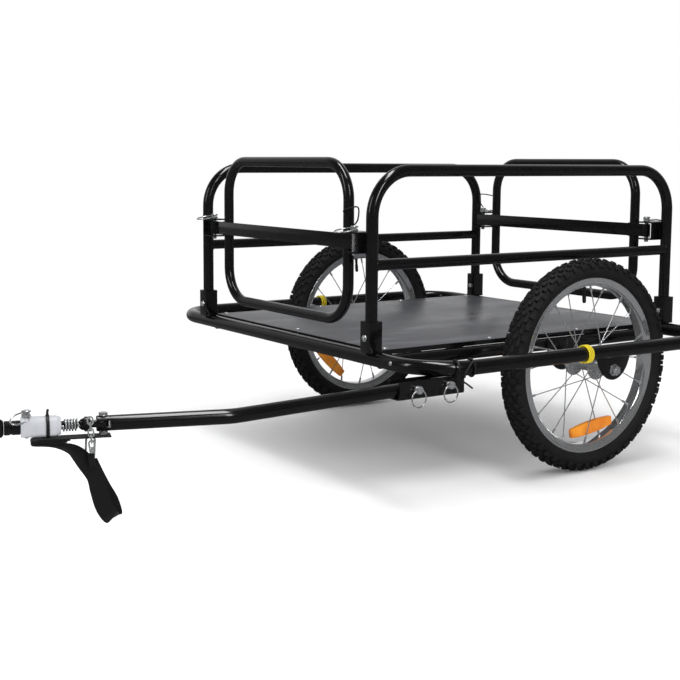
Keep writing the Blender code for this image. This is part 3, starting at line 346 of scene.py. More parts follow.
# %% Tubes
def bent(corners, radius, steps=10, closed=False):
    """Corner points as a path whose corners are arcs of this radius."""
    corners = [Vector(corner) for corner in corners]
    count = len(corners)
    path = []
    for i, corner in enumerate(corners):
        if not closed and i in (0, count - 1):
            path.append(corner)
            continue
        before = (corners[i - 1] - corner).normalized()
        after = (corners[(i + 1) % count] - corner).normalized()
        half = before.angle(after) / 2
        centre = corner + (before + after).normalized() * radius / math.sin(half)
        start = corner + before * radius / math.tan(half) - centre
        end = corner + after * radius / math.tan(half) - centre
        sweep = start.angle(end)
        for step in range(steps + 1):
            share = step / steps
            a = math.sin((1 - share) * sweep) / math.sin(sweep)
            b = math.sin(share * sweep) / math.sin(sweep)
            path.append(centre + start * a + end * b)
    return path


def facings(path, closed):
    ends = range(len(path))
    pairs = [(path[i - 1] if closed or i else path[0],
              path[(i + 1) % len(path)] if closed or i + 1 < len(path) else path[-1]) for i in ends]
    return [(after - before).normalized() for before, after in pairs]


def tube(path, radius, sides=24, closed=False):
    """One circle, extruded along a path. Its UV map is in metres, along and round."""
    path = [Vector(point) for point in path]
    ways = facings(path, closed)
    shape = bmesh.new()
    run = shape.verts.layers.float.new("run")
    turn = shape.verts.layers.float.new("turn")
    start = Matrix.Translation(path[0]) @ ways[0].to_track_quat("Z", "Y").to_matrix().to_4x4()
    ring = bmesh.ops.create_circle(shape, segments=sides, radius=radius, matrix=start)["verts"]
    for i, vert in enumerate(ring):
        vert[turn] = i / sides
    edges = shape.edges[:]
    stops = list(range(len(path))) + ([0] if closed else [])
    length = 0.0
    for here, there in zip(stops, stops[1:]):
        grown = bmesh.ops.extrude_edge_only(shape, edges=edges)["geom"]
        verts = [item for item in grown if isinstance(item, bmesh.types.BMVert)]
        fresh = set(verts)
        edges = [item for item in grown
                 if isinstance(item, bmesh.types.BMEdge) and fresh.issuperset(item.verts)]
        bmesh.ops.translate(shape, vec=path[there] - path[here], verts=verts)
        swing = ways[here].rotation_difference(ways[there]).to_matrix()
        bmesh.ops.rotate(shape, cent=path[there], matrix=swing, verts=verts)
        length += (path[there] - path[here]).length
        for vert in verts:
            vert[run] = length
    if closed:
        bmesh.ops.remove_doubles(shape, verts=shape.verts, dist=radius / 50)
    else:
        bmesh.ops.holes_fill(shape, edges=shape.edges)
    bmesh.ops.recalc_face_normals(shape, faces=shape.faces)
    lay_map(shape, run, turn, length, 2 * math.pi * radius)
    return shape


def lay_map(shape, run, turn, length, girth):
    """Writes the UV map from the vertex notes, and mends the faces that close a loop."""
    layer = shape.loops.layers.uv.new("UVMap")
    for face in shape.faces:
        runs = [loop.vert[run] for loop in face.loops]
        turns = [loop.vert[turn] for loop in face.loops]
        for loop, along, about in zip(face.loops, runs, turns):
            if max(runs) - min(runs) > length / 2 and along < length / 2:
                along += length
            if max(turns) - min(turns) > 0.5 and about < 0.5:
                about += 1
            loop[layer].uv = (along, about * girth)


# %% [markdown]
# A turned part is a profile spun round its axis. A block is a cube whose edges are bevelled, because
# no real edge is sharp and the bevel is what catches the light. A folded plate is a cube that loses
# some faces and then gets a wall.

# %% Turned parts, rods, blocks and folded plates
def soften(shape, edges, size, segments):
    """Rounds edges off by a small bevel."""
    bmesh.ops.bevel(shape, geom=edges, offset=size, segments=segments, profile=0.5, affect="EDGES",
                    material=-1)

def lathe(profile, centre, axis, steps=40, closed=False):
    """A profile of (along, radius) points, spun round an axis."""
    axis = Vector(axis).normalized()
    side = axis.orthogonal().normalized()
    shape = bmesh.new()
    corners = [shape.verts.new(Vector(centre) + axis * along + side * radius) for along, radius in profile]
    pairs = list(zip(corners, corners[1:])) + ([(corners[-1], corners[0])] if closed else [])
    edges = [shape.edges.new(pair) for pair in pairs]
    bmesh.ops.spin(shape, geom=corners + edges, cent=centre, axis=axis, angle=2 * math.pi, steps=steps,
                   use_merge=True)
    bmesh.ops.remove_doubles(shape, verts=shape.verts, dist=0.000005)
    bmesh.ops.recalc_face_normals(shape, faces=shape.faces)
    return shape


def crown(height, radius, degrees):
    """A dome's profile: points at these angles above its rim."""
    turns = [math.radians(degree) for degree in degrees]
    return [(height * math.sin(turn), radius * math.cos(turn)) for turn in turns]

def rod(start, end, radius, sides=24, chamfer=0.0):
    """A round bar whose two rims are chamfered."""
    start, end = Vector(start), Vector(end)
    long = (end - start).length
    profile = [(0, 0), (0, radius - chamfer), (chamfer, radius), (long - chamfer, radius),
               (long, radius - chamfer), (long, 0)]
    return lathe(profile, start, end - start, sides)


def hexagon(start, end, radius):
    """A nut or a bolt's head: six sides with softened edges."""
    start, end = Vector(start), Vector(end)
    shape = bmesh.new()
    turn = (end - start).to_track_quat("Z", "Y").to_matrix().to_4x4()
    bmesh.ops.create_cone(shape, cap_ends=True, segments=6, radius1=radius, radius2=radius,
                          depth=(end - start).length, matrix=Matrix.Translation((start + end) / 2) @ turn)
    soften(shape, shape.edges[:], radius * 0.09, 2)
    return shape


def cuboid(low, high):
    """A plain box between two corners."""
    low, high = Vector(low), Vector(high)
    shape = bmesh.new()
    size = Matrix.Diagonal((*(high - low), 1))
    bmesh.ops.create_cube(shape, size=1, matrix=Matrix.Translation((low + high) / 2) @ size)
    return shape

def block(low, high, bevel=0.0006, segments=2):
    shape = cuboid(low, high)
    soften(shape, shape.edges[:], bevel, segments)
    return shape


def folded(low, high, wall, open_ways, bevel=0.001):
    """Sheet metal: a box without the faces that look along the open ways, with a wall put inside."""
    shape = cuboid(low, high)
    lost = [face for face in shape.faces if any(face.normal.dot(Vector(way)) > 0.9 for way in open_ways)]
    bmesh.ops.delete(shape, geom=lost, context="FACES")
    folds = [edge for edge in shape.edges if len(edge.link_faces) == 2]
    soften(shape, folds, bevel, 3)
    bmesh.ops.solidify(shape, geom=shape.faces[:], thickness=wall)
    bmesh.ops.recalc_face_normals(shape, faces=shape.faces)
    return shape


def joined(*shapes):
    """Several shapes as one mesh."""
    whole = shapes[0]
    for other in shapes[1:]:
        carrier = bpy.data.meshes.new("carrier")
        other.to_mesh(carrier)
        other.free()
        whole.from_mesh(carrier)
        bpy.data.meshes.remove(carrier)
    return whole


def piece(shape, name, body, look, *replaced):
    """Turns a shape into a finished piece that rides on a body and may stand for nodes."""
    bmesh.ops.translate(shape, vec=SHIFT, verts=shape.verts)
    mesh = bpy.data.meshes.new(name)
    shape.to_mesh(mesh)
    shape.free()
    mesh.materials.append(look)
    mesh.shade_smooth()
    mesh.set_sharp_from_angle(angle=math.radians(32))
    made = bpy.data.objects.new(name, mesh)
    bpy.context.scene.collection.objects.link(made)
    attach(made, body)
    if replaced:
        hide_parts(*replaced)
    return made


def welded(post, post_way, post_radius, rail_way, rail_radius, bead=0.0016):
    """A weld bead on the saddle line where a rail's end meets a post."""
    post, post_way, rail_way = Vector(post), Vector(post_way), Vector(rail_way)
    across = post_way.cross(rail_way)
    path = []
    for i in range(28):
        turn = 2 * math.pi * i / 28
        reach = math.sqrt(post_radius ** 2 - (rail_radius * math.cos(turn)) ** 2)
        spoke = across * math.cos(turn) + post_way * math.sin(turn)
        path.append(post + rail_way * reach + spoke * rail_radius)
    return tube(path, bead, 6, closed=True)

# %% [markdown]
# ## The ring and the bed's frame
# The outer ring is one loop of 25 mm tube with wide bends. Inside it two rails run front to back, and
# flat strips between them carry the board. Each rail meets the ring in a welded butt joint.

# %% Ring and bed frame
RING_RADIUS = 0.0125
RING_HEIGHT = 0.234
RING_HALF_WIDTH = 0.442
RING_HALF_LENGTH = 0.356
RING_BEND = 0.092
RAIL_RADIUS = 0.0115
RAIL_Y = 0.288
PANEL_TOP = 0.2475
PANEL_THICKNESS = 0.009
PANEL_HALF_WIDTH = 0.288
PANEL_HALF_LENGTH = 0.341
GAP = 0.0003
RAIL_TOP = PANEL_TOP - PANEL_THICKNESS - GAP
RAIL_HEIGHT = RAIL_TOP - RAIL_RADIUS
STRIP_WIDTH = 0.030
STRIP_WALL = 0.0027
STRIP_TOP = RAIL_TOP - 0.0004
STRIPS_BETWEEN = 3


def rectangle(half_length, half_width, height):
    return [(x * half_length, y * half_width, height) for x, y in ((1, 1), (-1, 1), (-1, -1), (1, -1))]


ring_path = bent(rectangle(RING_HALF_LENGTH, RING_HALF_WIDTH, RING_HEIGHT), RING_BEND, 16, closed=True)
piece(tube(ring_path, RING_RADIUS, 36, closed=True), "ring_tube", "frame", BLACK, "ring_frame")

rail_reach = RING_HALF_LENGTH - RING_RADIUS - GAP
bed_parts = []
for side in (1, -1):
    ends = [(-rail_reach, side * RAIL_Y, RAIL_HEIGHT), (rail_reach, side * RAIL_Y, RAIL_HEIGHT)]
    bed_parts.append(tube(ends, RAIL_RADIUS, 28))
    for end in (1, -1):
        corner = (end * RING_HALF_LENGTH, side * RAIL_Y, RING_HEIGHT)
        bed_parts.append(welded(corner, (0, 1, 0), RING_RADIUS, (-end, 0, 0), RAIL_RADIUS * 0.8, 0.0014))
centres = [(i + 1) / (STRIPS_BETWEEN + 1) * 2 * rail_reach - rail_reach for i in range(STRIPS_BETWEEN)]
centres += [end * (rail_reach - STRIP_WIDTH / 2) for end in (1, -1)]
for x in centres:
    bed_parts.append(block((x - STRIP_WIDTH / 2, -RAIL_Y, STRIP_TOP - STRIP_WALL),
                           (x + STRIP_WIDTH / 2, RAIL_Y, STRIP_TOP)))
piece(joined(*bed_parts), "bed_rails", "frame", BLACK, "bed_frame")

# %% [markdown]
# ## The board and its screws
# The board is one block with softened edges, and its edge is sealed with black paint. Domed screws hold it
# at the corners, as the model says, and smaller ones hold it along its sides. A dome is a short arc
# spun round the screw's axis, with a round recess for the driver.

# %% Board and screws
board_low = (-PANEL_HALF_LENGTH, -PANEL_HALF_WIDTH, RAIL_TOP + GAP)
board = block(board_low, (PANEL_HALF_LENGTH, PANEL_HALF_WIDTH, PANEL_TOP), 0.0012, 3)
piece(board, "bed_board", "frame", BOARD, "bed_panel")

EDGE_PAINT = 0.0004
edge_parts = []
for x, y in ((1, 0), (-1, 0), (0, 1), (0, -1)):
    middle = Vector((x * PANEL_HALF_LENGTH, y * PANEL_HALF_WIDTH, 0))
    half = Vector((EDGE_PAINT + abs(y) * (PANEL_HALF_LENGTH - 0.001),
                   EDGE_PAINT + abs(x) * (PANEL_HALF_WIDTH - 0.001), 0))
    low = middle - half + UP * (RAIL_TOP + GAP + 0.0008)
    edge_parts.append(block(low, middle + half + UP * (PANEL_TOP - 0.0008), 0.0002, 1))
piece(joined(*edge_parts), "board_edge_seal", "frame", BLACK)


def domed_screw(spot, radius, height):
    """A domed head: its arc runs from the rim to a small recess in the middle."""
    recess = [(height, radius * 0.24), (height * 0.55, radius * 0.2), (height * 0.5, 0)]
    return lathe([(0, 0)] + crown(height, radius, range(0, 75, 12)) + recess, spot, UP, 24)


SCREW_INSET_X = 0.016
SCREW_INSET_Y = 0.010
SCREW_RADIUS = 0.0055
SCREW_HEIGHT = 0.0028
SCREW_SEAT = PANEL_TOP - 0.0003
for end, end_name in ENDS:
    for side, side_name in SIDES:
        spot = (end * (PANEL_HALF_LENGTH - SCREW_INSET_X),
                side * (PANEL_HALF_WIDTH - SCREW_INSET_Y), SCREW_SEAT)
        piece(domed_screw(spot, SCREW_RADIUS, SCREW_HEIGHT), f"bed_screw_{end_name}_{side_name}", "frame",
              ZINC, f"bed_bolt_{end_name}_{side_name}")
between = [(x, side * (PANEL_HALF_WIDTH - SCREW_INSET_Y)) for x in (0.09, -0.13) for side in (1, -1)]
between += [(end * (PANEL_HALF_LENGTH - SCREW_INSET_X), 0.0) for end in (1, -1)]
small = [domed_screw((x, y, PANEL_TOP), SCREW_RADIUS * 0.85, SCREW_HEIGHT * 0.9) for x, y in between]
piece(joined(*small), "bed_side_screws", "frame", ZINC)

# %% [markdown]
# ## The side hoops
# Each hoop is one bent tube with a rail welded across it. A weld isn't invisible: it leaves a raised
# bead on the saddle-shaped line where the tubes meet, so the bead is a thin tube on that very line.

# %% Hoops
HOOP_RADIUS = 0.0105
HOOP_HALF_LENGTH = 0.361
HOOP_TOP = 0.549
HOOP_MID = 0.392
HOOP_BEND = 0.078
MID_RAIL_RADIUS = 0.0097
BRACKET_WALL = 0.0025
BRACKET_BOTTOM = RING_HEIGHT + RING_RADIUS + GAP
BRACKET_TOP = 0.298
BRACKET_HALF = HOOP_RADIUS + 0.0004 + BRACKET_WALL
HOOP_FOOT = BRACKET_BOTTOM + BRACKET_WALL + GAP


def hoop(side):
    y = side * RAIL_Y
    corners = [(x * HOOP_HALF_LENGTH, y, z)
               for x, z in ((1, HOOP_FOOT), (1, HOOP_TOP), (-1, HOOP_TOP), (-1, HOOP_FOOT))]
    parts = [tube(bent(corners, HOOP_BEND, 16), HOOP_RADIUS, 28)]
    parts.append(tube([(-HOOP_HALF_LENGTH, y, HOOP_MID), (HOOP_HALF_LENGTH, y, HOOP_MID)],
                      MID_RAIL_RADIUS, 28))
    for end in (1, -1):
        post = (end * HOOP_HALF_LENGTH, y, HOOP_MID)
        parts.append(welded(post, UP, HOOP_RADIUS, (-end, 0, 0), MID_RAIL_RADIUS))
    return joined(*parts)


for side, side_name in SIDES:
    piece(hoop(side), f"side_hoop_{side_name}", "frame", BLACK, f"hoop_{side_name}")

# %% [markdown]
# ## The sleeves that hold the posts
# Each post stands in a square steel sleeve, and a bolt goes through both. The sleeve's outside is
# round at its corners because thick sheet can't be bent sharp, so the corners are bevelled before the
# sheet gets its wall. The sleeve's foot is welded down on the ring and the rail.

# %% Post sleeves and their bolts
BOLT_HEIGHT = 0.270
BOLT_HEAD = 0.0058
BOLT_DEPTH = 0.004
for end, end_name in ENDS:
    for side, side_name in SIDES:
        x, y = end * HOOP_HALF_LENGTH, side * RAIL_Y
        low = (x - BRACKET_HALF, y - BRACKET_HALF, BRACKET_BOTTOM)
        sleeve = folded(low, (x + BRACKET_HALF, y + BRACKET_HALF, BRACKET_TOP), BRACKET_WALL, [UP])
        foot_weld = bent([(x + a * BRACKET_HALF, y + b * BRACKET_HALF, BRACKET_BOTTOM)
                          for a, b in ((1, 1), (-1, 1), (-1, -1), (1, -1))], 0.002, 3, closed=True)
        piece(joined(sleeve, tube(foot_weld, 0.0013, 6, closed=True)), f"post_sleeve_{end_name}_{side_name}",
              "frame", BLACK, f"post_bracket_{end_name}_{side_name}")
        seat = BRACKET_HALF + GAP
        bolt = []
        for way, grip in ((end, "dome"), (-end, "nut")):
            start = Vector((x + way * seat, y, BOLT_HEIGHT))
            if grip == "dome":
                profile = [(0, 0)] + crown(BOLT_DEPTH, BOLT_HEAD, range(0, 85, 12)) + [(BOLT_DEPTH, 0)]
                bolt.append(lathe(profile, start, (way, 0, 0), 28))
            else:
                bolt.append(hexagon(start, start + Vector((way * BOLT_DEPTH * 0.8, 0, 0)), BOLT_HEAD))
                bolt.append(rod(start, start + Vector((way * BOLT_DEPTH, 0, 0)), 0.003, 16, 0.0004))
        piece(joined(*bolt), f"post_fixing_{end_name}_{side_name}", "frame", ZINC,
              f"post_bolt_{end_name}_{side_name}")

# %% [markdown]
# ## The gates
# A gate is a closed loop of thinner tube with a flat bar welded across it. At one end the bar ends in
# an eye that turns on a pin, and at the other its blade rests against the latch pin. Where the bar
# crosses the loop, short beads of weld run along both of its edges.

# %% Gates
GATE_RADIUS = 0.0095
GATE_PLANE = 0.355
GATE_HALF_WIDTH = 0.2105
GATE_TOP = 0.5619
GATE_BOTTOM = 0.2878
GATE_BEND = 0.064
BAR_HEIGHT = 0.0256
BAR_WALL = 0.004
BAR_LEVEL = 0.4291
BAR_OFFSET = GATE_RADIUS + BAR_WALL / 2 - 0.001
GATE_PIN_Y = 0.252
GATE_PIN_RADIUS = 0.004
BLADE_REACH = 0.2650


def bar_x(end):
    return end * GATE_PLANE + BAR_OFFSET


def gate(end):
    x = end * GATE_PLANE
    hinge = -end
    corners = [(x, y * GATE_HALF_WIDTH, z)
               for y, z in ((1, GATE_TOP), (-1, GATE_TOP), (-1, GATE_BOTTOM), (1, GATE_BOTTOM))]
    parts = [tube(bent(corners, GATE_BEND, 16, closed=True), GATE_RADIUS, 28, closed=True)]
    near, far = sorted((hinge * (GATE_PIN_Y - 0.007), -hinge * BLADE_REACH))
    half = BAR_HEIGHT / 2
    parts.append(block((bar_x(end) - BAR_WALL / 2, near, BAR_LEVEL - half),
                       (bar_x(end) + BAR_WALL / 2, far, BAR_LEVEL + half), 0.0009, 3))
    eye = [(-half, 0.0045), (-half, 0.0070), (-half + 0.0006, 0.0075),
           (half - 0.0006, 0.0075), (half, 0.0070), (half, 0.0045)]
    parts.append(lathe(eye, (bar_x(end), hinge * GATE_PIN_Y, BAR_LEVEL), UP, 28, closed=True))
    for side in (1, -1):
        for rise in (1, -1):
            for edge in (1, -1):
                spot = Vector((bar_x(end) - BAR_WALL / 2 + 0.0008, side * GATE_HALF_WIDTH + edge * 0.0045,
                               BAR_LEVEL + rise * half))
                run = Vector((0, edge * 0.0035, 0))
                parts.append(tube([spot - run, spot, spot + run - UP * rise * 0.001], 0.0015, 8))
    return joined(*parts)


for end, end_name in ENDS:
    piece(gate(end), f"{end_name}_gate_loop", f"{end_name}_gate_leaf", BLACK, f"{end_name}_gate")

# %% [markdown]
# ## Gate brackets and their pins
# A bracket is a short channel on the post, and the pin drops through both of its flanges. A
# pin like this has a knob with a groove, and a spring wire ring passes through the knob so that a
# finger can pull it. The ring lies nearly flat when nobody holds it.

# %% Brackets and pins
FLANGE_WALL = 0.003
FLANGE_LEVEL = BAR_HEIGHT / 2 + 0.0022
FLANGE_INNER_EDGE = 0.2385
FLANGE_REACH = 0.0125
LATCH_OFFSET = BAR_WALL / 2 + GAP + GATE_PIN_RADIUS
KNOB_RADIUS = 0.0065
KNOB_DEPTH = 0.009
PIN_TAIL = 0.005
RING_WIRE = 0.0012
PIN_RING_RADIUS = 0.0189
PIN_RING_DROOP = 0.17
LOCK_RING_RADIUS = 0.014
tall = FLANGE_LEVEL + FLANGE_WALL


def pin_x(end, side):
    return bar_x(end) if side == -end else bar_x(end) + end * LATCH_OFFSET


def gate_bracket(end, side):
    post_edge = RAIL_Y - HOOP_RADIUS - GAP
    near, far = sorted((side * FLANGE_INNER_EDGE, side * post_edge))
    post_x, pin = end * HOOP_HALF_LENGTH, pin_x(end, side)
    xs = (post_x - HOOP_RADIUS, post_x + HOOP_RADIUS, pin - FLANGE_REACH, pin + FLANGE_REACH)
    shape = folded((min(xs), near, BAR_LEVEL - tall), (max(xs), far, BAR_LEVEL + tall), FLANGE_WALL,
                   [(0, -side, 0), (1, 0, 0), (-1, 0, 0)], 0.0015)
    seams = []
    for way in (1, -1):
        x = post_x + way * HOOP_RADIUS * 0.62
        seams.append(tube([(x, side * (post_edge + 0.001), BAR_LEVEL - tall * 0.9),
                           (x, side * (post_edge + 0.001), BAR_LEVEL + tall * 0.9)], 0.0015, 8))
    return joined(shape, *seams)


def ring_pin(foot, along, length, radius, across, down, ring_radius):
    """A chamfered pin with a grooved knob, and a wire ring through the knob."""
    foot, along, across, down = Vector(foot), Vector(along), Vector(across), Vector(down)
    seat = foot + along * length
    deep = KNOB_DEPTH
    knob = [(0, 0), (0, KNOB_RADIUS - 0.0006), (0.0006, KNOB_RADIUS), (deep * 0.35, KNOB_RADIUS),
            (deep * 0.45, KNOB_RADIUS * 0.72), (deep * 0.62, KNOB_RADIUS * 0.72), (deep * 0.72, KNOB_RADIUS),
            (deep - 0.0008, KNOB_RADIUS), (deep, KNOB_RADIUS - 0.0008), (deep, 0)]
    hang = seat + along * deep * 0.6 + down * ring_radius
    turns = [2 * math.pi * i / 40 for i in range(40)]
    path = [hang + (across * math.sin(turn) - down * math.cos(turn)) * ring_radius for turn in turns]
    return joined(rod(foot, seat + along * 0.001, radius, 20, 0.001), lathe(knob, seat, along, 28),
                  tube(path, RING_WIRE, 10, closed=True))


for end, end_name in ENDS:
    for side, side_name in SIDES:
        where = f"{end_name}_{side_name}"
        piece(gate_bracket(end, side), f"gate_channel_{where}", "frame", BLACK, f"gate_bracket_{where}")
        foot = (pin_x(end, side), side * GATE_PIN_Y, BAR_LEVEL - tall - PIN_TAIL)
        down = (Vector((end, 0, 0)) - UP * PIN_RING_DROOP).normalized()
        shape = ring_pin(foot, UP, 2 * tall + PIN_TAIL + GAP, GATE_PIN_RADIUS, (0, side, 0), down,
                         PIN_RING_RADIUS)
        piece(shape, f"ring_pin_{where}", f"pin_{where}", ZINC, f"gate_pin_{where}")

# %% [markdown]
# ## Tyres
# A tyre is a casing with rubber blocks on it. The casing's section is part of an ellipse spun round the
# axle. The blocks are real geometry, because they show in the outline: each is a small cube set on the
# casing and turned to its surface, and one bevel rounds them all. Rows are staggered as on a real tread.

# %% Tyres
CASING_CENTRE = 0.1745
CASING_HALF = 0.0212
CASING_RISE = 0.0176
TREAD_TOP = WHEEL_RADIUS - 0.0004
BLOCKS = 54
BEAD_RADIUS = 0.1575
BLOCK_EDGE = 0.0007


def wheel_centre(side):
    return Vector((WHEEL_X, side * WHEEL_Y, WHEEL_RADIUS))

def casing_point(tilt, lift=0.0):
    """A point of the tyre's section: tilt is 0 at the tread's middle, in degrees."""
    angle = math.radians(tilt)
    return math.sin(angle) * (CASING_HALF + lift), CASING_CENTRE + math.cos(angle) * (CASING_RISE + lift)


def tyre(side):
    centre = wheel_centre(side)
    outside = []
    for tilt in range(-138, 139, 6):
        ribbed = 0.0005 if abs(tilt) in (96, 120) else 0.0
        outside.append(casing_point(tilt, ribbed))
    beads = [(0.0108, BEAD_RADIUS), (-0.0108, BEAD_RADIUS)]
    shape = lathe(outside + beads, centre, (0, 1, 0), 128, closed=True)
    blocks = bmesh.new()
    rows = [(0, 0.0, 9.0, 6.0), (19, 0.5, 10.0, 6.5), (-19, 0.5, 10.0, 6.5), (39, 0.0, 9.0, 7.0),
            (-39, 0.0, 9.0, 7.0), (60, 0.5, 12.0, 9.5), (-60, 0.5, 12.0, 9.5)]
    for tilt, offset, long, wide in rows:
        for i in range(BLOCKS):
            longer = 1.0 if i % 2 else 0.78
            along, reach = casing_point(tilt)
            top = min(0.0044, (TREAD_TOP - reach) / max(math.cos(math.radians(tilt)), 0.3))
            size = Matrix.Diagonal((long * longer / 1000, wide / 1000, top + 0.003, 1))
            seat = Matrix.Translation((0, along, reach)) @ Matrix.Rotation(-math.radians(tilt), 4, "X")
            spun = Matrix.Rotation(2 * math.pi * (i + offset) / BLOCKS, 4, "Y")
            lift = Matrix.Translation((0, 0, top / 2 - 0.0015))
            bmesh.ops.create_cube(blocks, size=1,
                                  matrix=Matrix.Translation(centre) @ spun @ seat @ lift @ size)
    soften(blocks, blocks.edges[:], BLOCK_EDGE, 1)
    return joined(shape, blocks)


for side, side_name in SIDES:
    piece(tyre(side), f"knobby_tyre_{side_name}", f"wheel_{side_name}", TYRE, f"tyre_{side_name}")

# %% [markdown]
# ## Rims, spokes and hubs
# A chromed steel rim is rolled from a strip: rolled lips hold the tyre and a shallow well joins
# them. Each spoke has a bent head behind the hub's flange and a nipple at the rim. Half of the spokes lean
# forward and half lean back, and neighbours cross, so pairs pass on either side of each other.

# %% Rims
RIM_LIP = 0.1615
RIM_HALF = 0.0140
RIM_WELL = 0.1455
LIP_GAP = 0.0122


def rim(side):
    centre = wheel_centre(side)
    curl = [(RIM_HALF - 0.0009 + 0.0009 * math.cos(a), RIM_LIP - 0.0009 + 0.0009 * math.sin(a))
            for a in (math.radians(t) for t in range(0, 181, 30))]
    outer = [(RIM_HALF * 0.55, RIM_WELL), (RIM_HALF * 0.72, RIM_WELL + 0.0008),
             (RIM_HALF * 0.86, RIM_WELL + 0.0032),
             (RIM_HALF * 0.93, RIM_WELL + 0.0065), (RIM_HALF * 0.95, RIM_LIP - 0.0040),
             (RIM_HALF, RIM_LIP - 0.0026)]
    inner = [(LIP_GAP, RIM_LIP - 0.0040), (RIM_HALF * 0.78, BEAD_RADIUS - 0.0012),
             (RIM_HALF * 0.5, BEAD_RADIUS - 0.0020)]
    half = outer + curl + inner
    profile = half + [(-along, reach) for along, reach in reversed(half)]
    return lathe(profile, centre, (0, 1, 0), 144, closed=True)


for side, side_name in SIDES:
    piece(rim(side), f"chromed_rim_{side_name}", f"wheel_{side_name}", CHROME, f"rim_{side_name}")

# %% Hubs and spokes
HUB_HALF = 0.046
HUB_RADIUS = 0.0125
FLANGE_RADIUS = 0.024
FLANGE_OFFSET = 0.028
HUB_FLANGE_WALL = 0.003
SPOKES = 20
SPOKE_RADIUS = 0.0010
SPOKE_LEAN = 0.75
SPOKE_STAGGER = 0.0014
SPOKE_RIM_OFFSET = 0.0045
NIPPLE_RADIUS = 0.0021
NIPPLE_LENGTH = 0.011


def hub(centre):
    """The shell: a waisted barrel between two flanges, with a dust cap at each end."""
    half = [(0, HUB_RADIUS - 0.0022), (0.012, HUB_RADIUS - 0.0018), (0.020, HUB_RADIUS),
            (FLANGE_OFFSET - HUB_FLANGE_WALL / 2 - 0.0012, HUB_RADIUS + 0.0004),
            (FLANGE_OFFSET - HUB_FLANGE_WALL / 2, HUB_RADIUS + 0.002),
            (FLANGE_OFFSET - HUB_FLANGE_WALL / 2, FLANGE_RADIUS - 0.0008),
            (FLANGE_OFFSET, FLANGE_RADIUS), (FLANGE_OFFSET + HUB_FLANGE_WALL / 2, FLANGE_RADIUS - 0.0008),
            (FLANGE_OFFSET + HUB_FLANGE_WALL / 2, HUB_RADIUS), (HUB_HALF - 0.009, HUB_RADIUS * 0.95),
            (HUB_HALF - 0.008, HUB_RADIUS * 0.84), (HUB_HALF - 0.001, HUB_RADIUS * 0.84),
            (HUB_HALF, HUB_RADIUS * 0.76), (HUB_HALF, 0.0056)]
    return lathe(half + [(-along, reach) for along, reach in reversed(half[1:])], centre, (0, 1, 0),
                 40, closed=True)


def spoke(centre, i):
    """One spoke from its bent head to its nipple."""
    way = 1 if i % 2 else -1
    lean = SPOKE_LEAN if i % 4 < 2 else -SPOKE_LEAN
    at_rim = 2 * math.pi * i / SPOKES
    face = SPOKE_STAGGER if lean > 0 else -SPOKE_STAGGER

    def spot(angle, reach, y):
        return centre + Vector((math.cos(angle) * reach, y, math.sin(angle) * reach))

    seat = spot(at_rim + lean, FLANGE_RADIUS - 0.003, way * (FLANGE_OFFSET + face))
    tip = spot(at_rim, RIM_WELL + 0.0004, way * (SPOKE_RIM_OFFSET + face))
    head = seat - Vector((0, way * face * 3.0, 0))
    run = (tip - seat).normalized()
    wire = tube(bent([head, seat, tip - run * NIPPLE_LENGTH * 0.5], 0.0016, 3), SPOKE_RADIUS, 8)
    cap = rod(head - Vector((0, way * face * 0.1, 0)), head - Vector((0, way * face * 0.9, 0)),
              SPOKE_RADIUS * 1.9, 10, 0.0003)
    nipple = rod(tip - run * NIPPLE_LENGTH, tip, NIPPLE_RADIUS, 10, 0.0005)
    return [wire, cap, nipple]


for side, side_name in SIDES:
    centre = wheel_centre(side)
    piece(hub(centre), f"hub_shell_{side_name}", f"wheel_{side_name}", ZINC, f"hub_{side_name}")
    wires = [part for i in range(SPOKES) for part in spoke(centre, i)]
    piece(joined(*wires), f"spokes_{side_name}", f"wheel_{side_name}", STAINLESS)

# %% [markdown]
# ## Axles and hanging plates
# Two steel plates hang from the frame on each side of a wheel, and the axle runs through both. Each
# plate is flat on top and round below, so it is a disc that is cut straight and stretched to its depth.

# %% Axles and plates
AXLE_RADIUS = 0.005
NUT_RADIUS = 0.0095
NUT_DEPTH = 0.008
AXLE_END = 0.002
SPACER_RADIUS = 0.0076
HUB_CLEARANCE = 0.0005
PLATE_WALL = 0.004
PLATE_RADIUS = 0.043
PLATE_DROP = 0.018
PLATE_EDGE = 0.0007
PLATE_TOP = RING_HEIGHT + 0.006
INNER_PLATE_Y = RAIL_Y + RAIL_RADIUS + GAP
OUTER_PLATE_Y = RING_HALF_WIDTH - RING_RADIUS - GAP - PLATE_WALL


def plate(side, inner_face):
    """A disc cut flat on top, with its edges softened."""
    y = side * (inner_face + PLATE_WALL / 2)
    shape = bmesh.new()
    lying = Matrix.Translation((WHEEL_X, y, 0)) @ Matrix.Rotation(math.pi / 2, 4, "X")
    bmesh.ops.create_cone(shape, cap_ends=True, segments=72, radius1=PLATE_RADIUS, radius2=PLATE_RADIUS,
                          depth=PLATE_WALL, matrix=lying)
    cut = bmesh.ops.bisect_plane(shape, geom=shape.verts[:] + shape.edges[:] + shape.faces[:],
                                 plane_co=(0, 0, 0), plane_no=(0, 0, 1), clear_outer=True)["geom_cut"]
    rim_edges = [item for item in cut if isinstance(item, bmesh.types.BMEdge)]
    bmesh.ops.holes_fill(shape, edges=rim_edges)
    depth = PLATE_TOP - (WHEEL_RADIUS - PLATE_DROP)
    bmesh.ops.scale(shape, vec=(1, 1, depth / PLATE_RADIUS), verts=shape.verts)
    bmesh.ops.translate(shape, vec=(0, 0, PLATE_TOP), verts=shape.verts)
    rims = [edge for edge in shape.edges if edge.calc_face_angle(0) > 0.8]
    soften(shape, rims, PLATE_EDGE, 2)
    bmesh.ops.recalc_face_normals(shape, faces=shape.faces)
    return shape


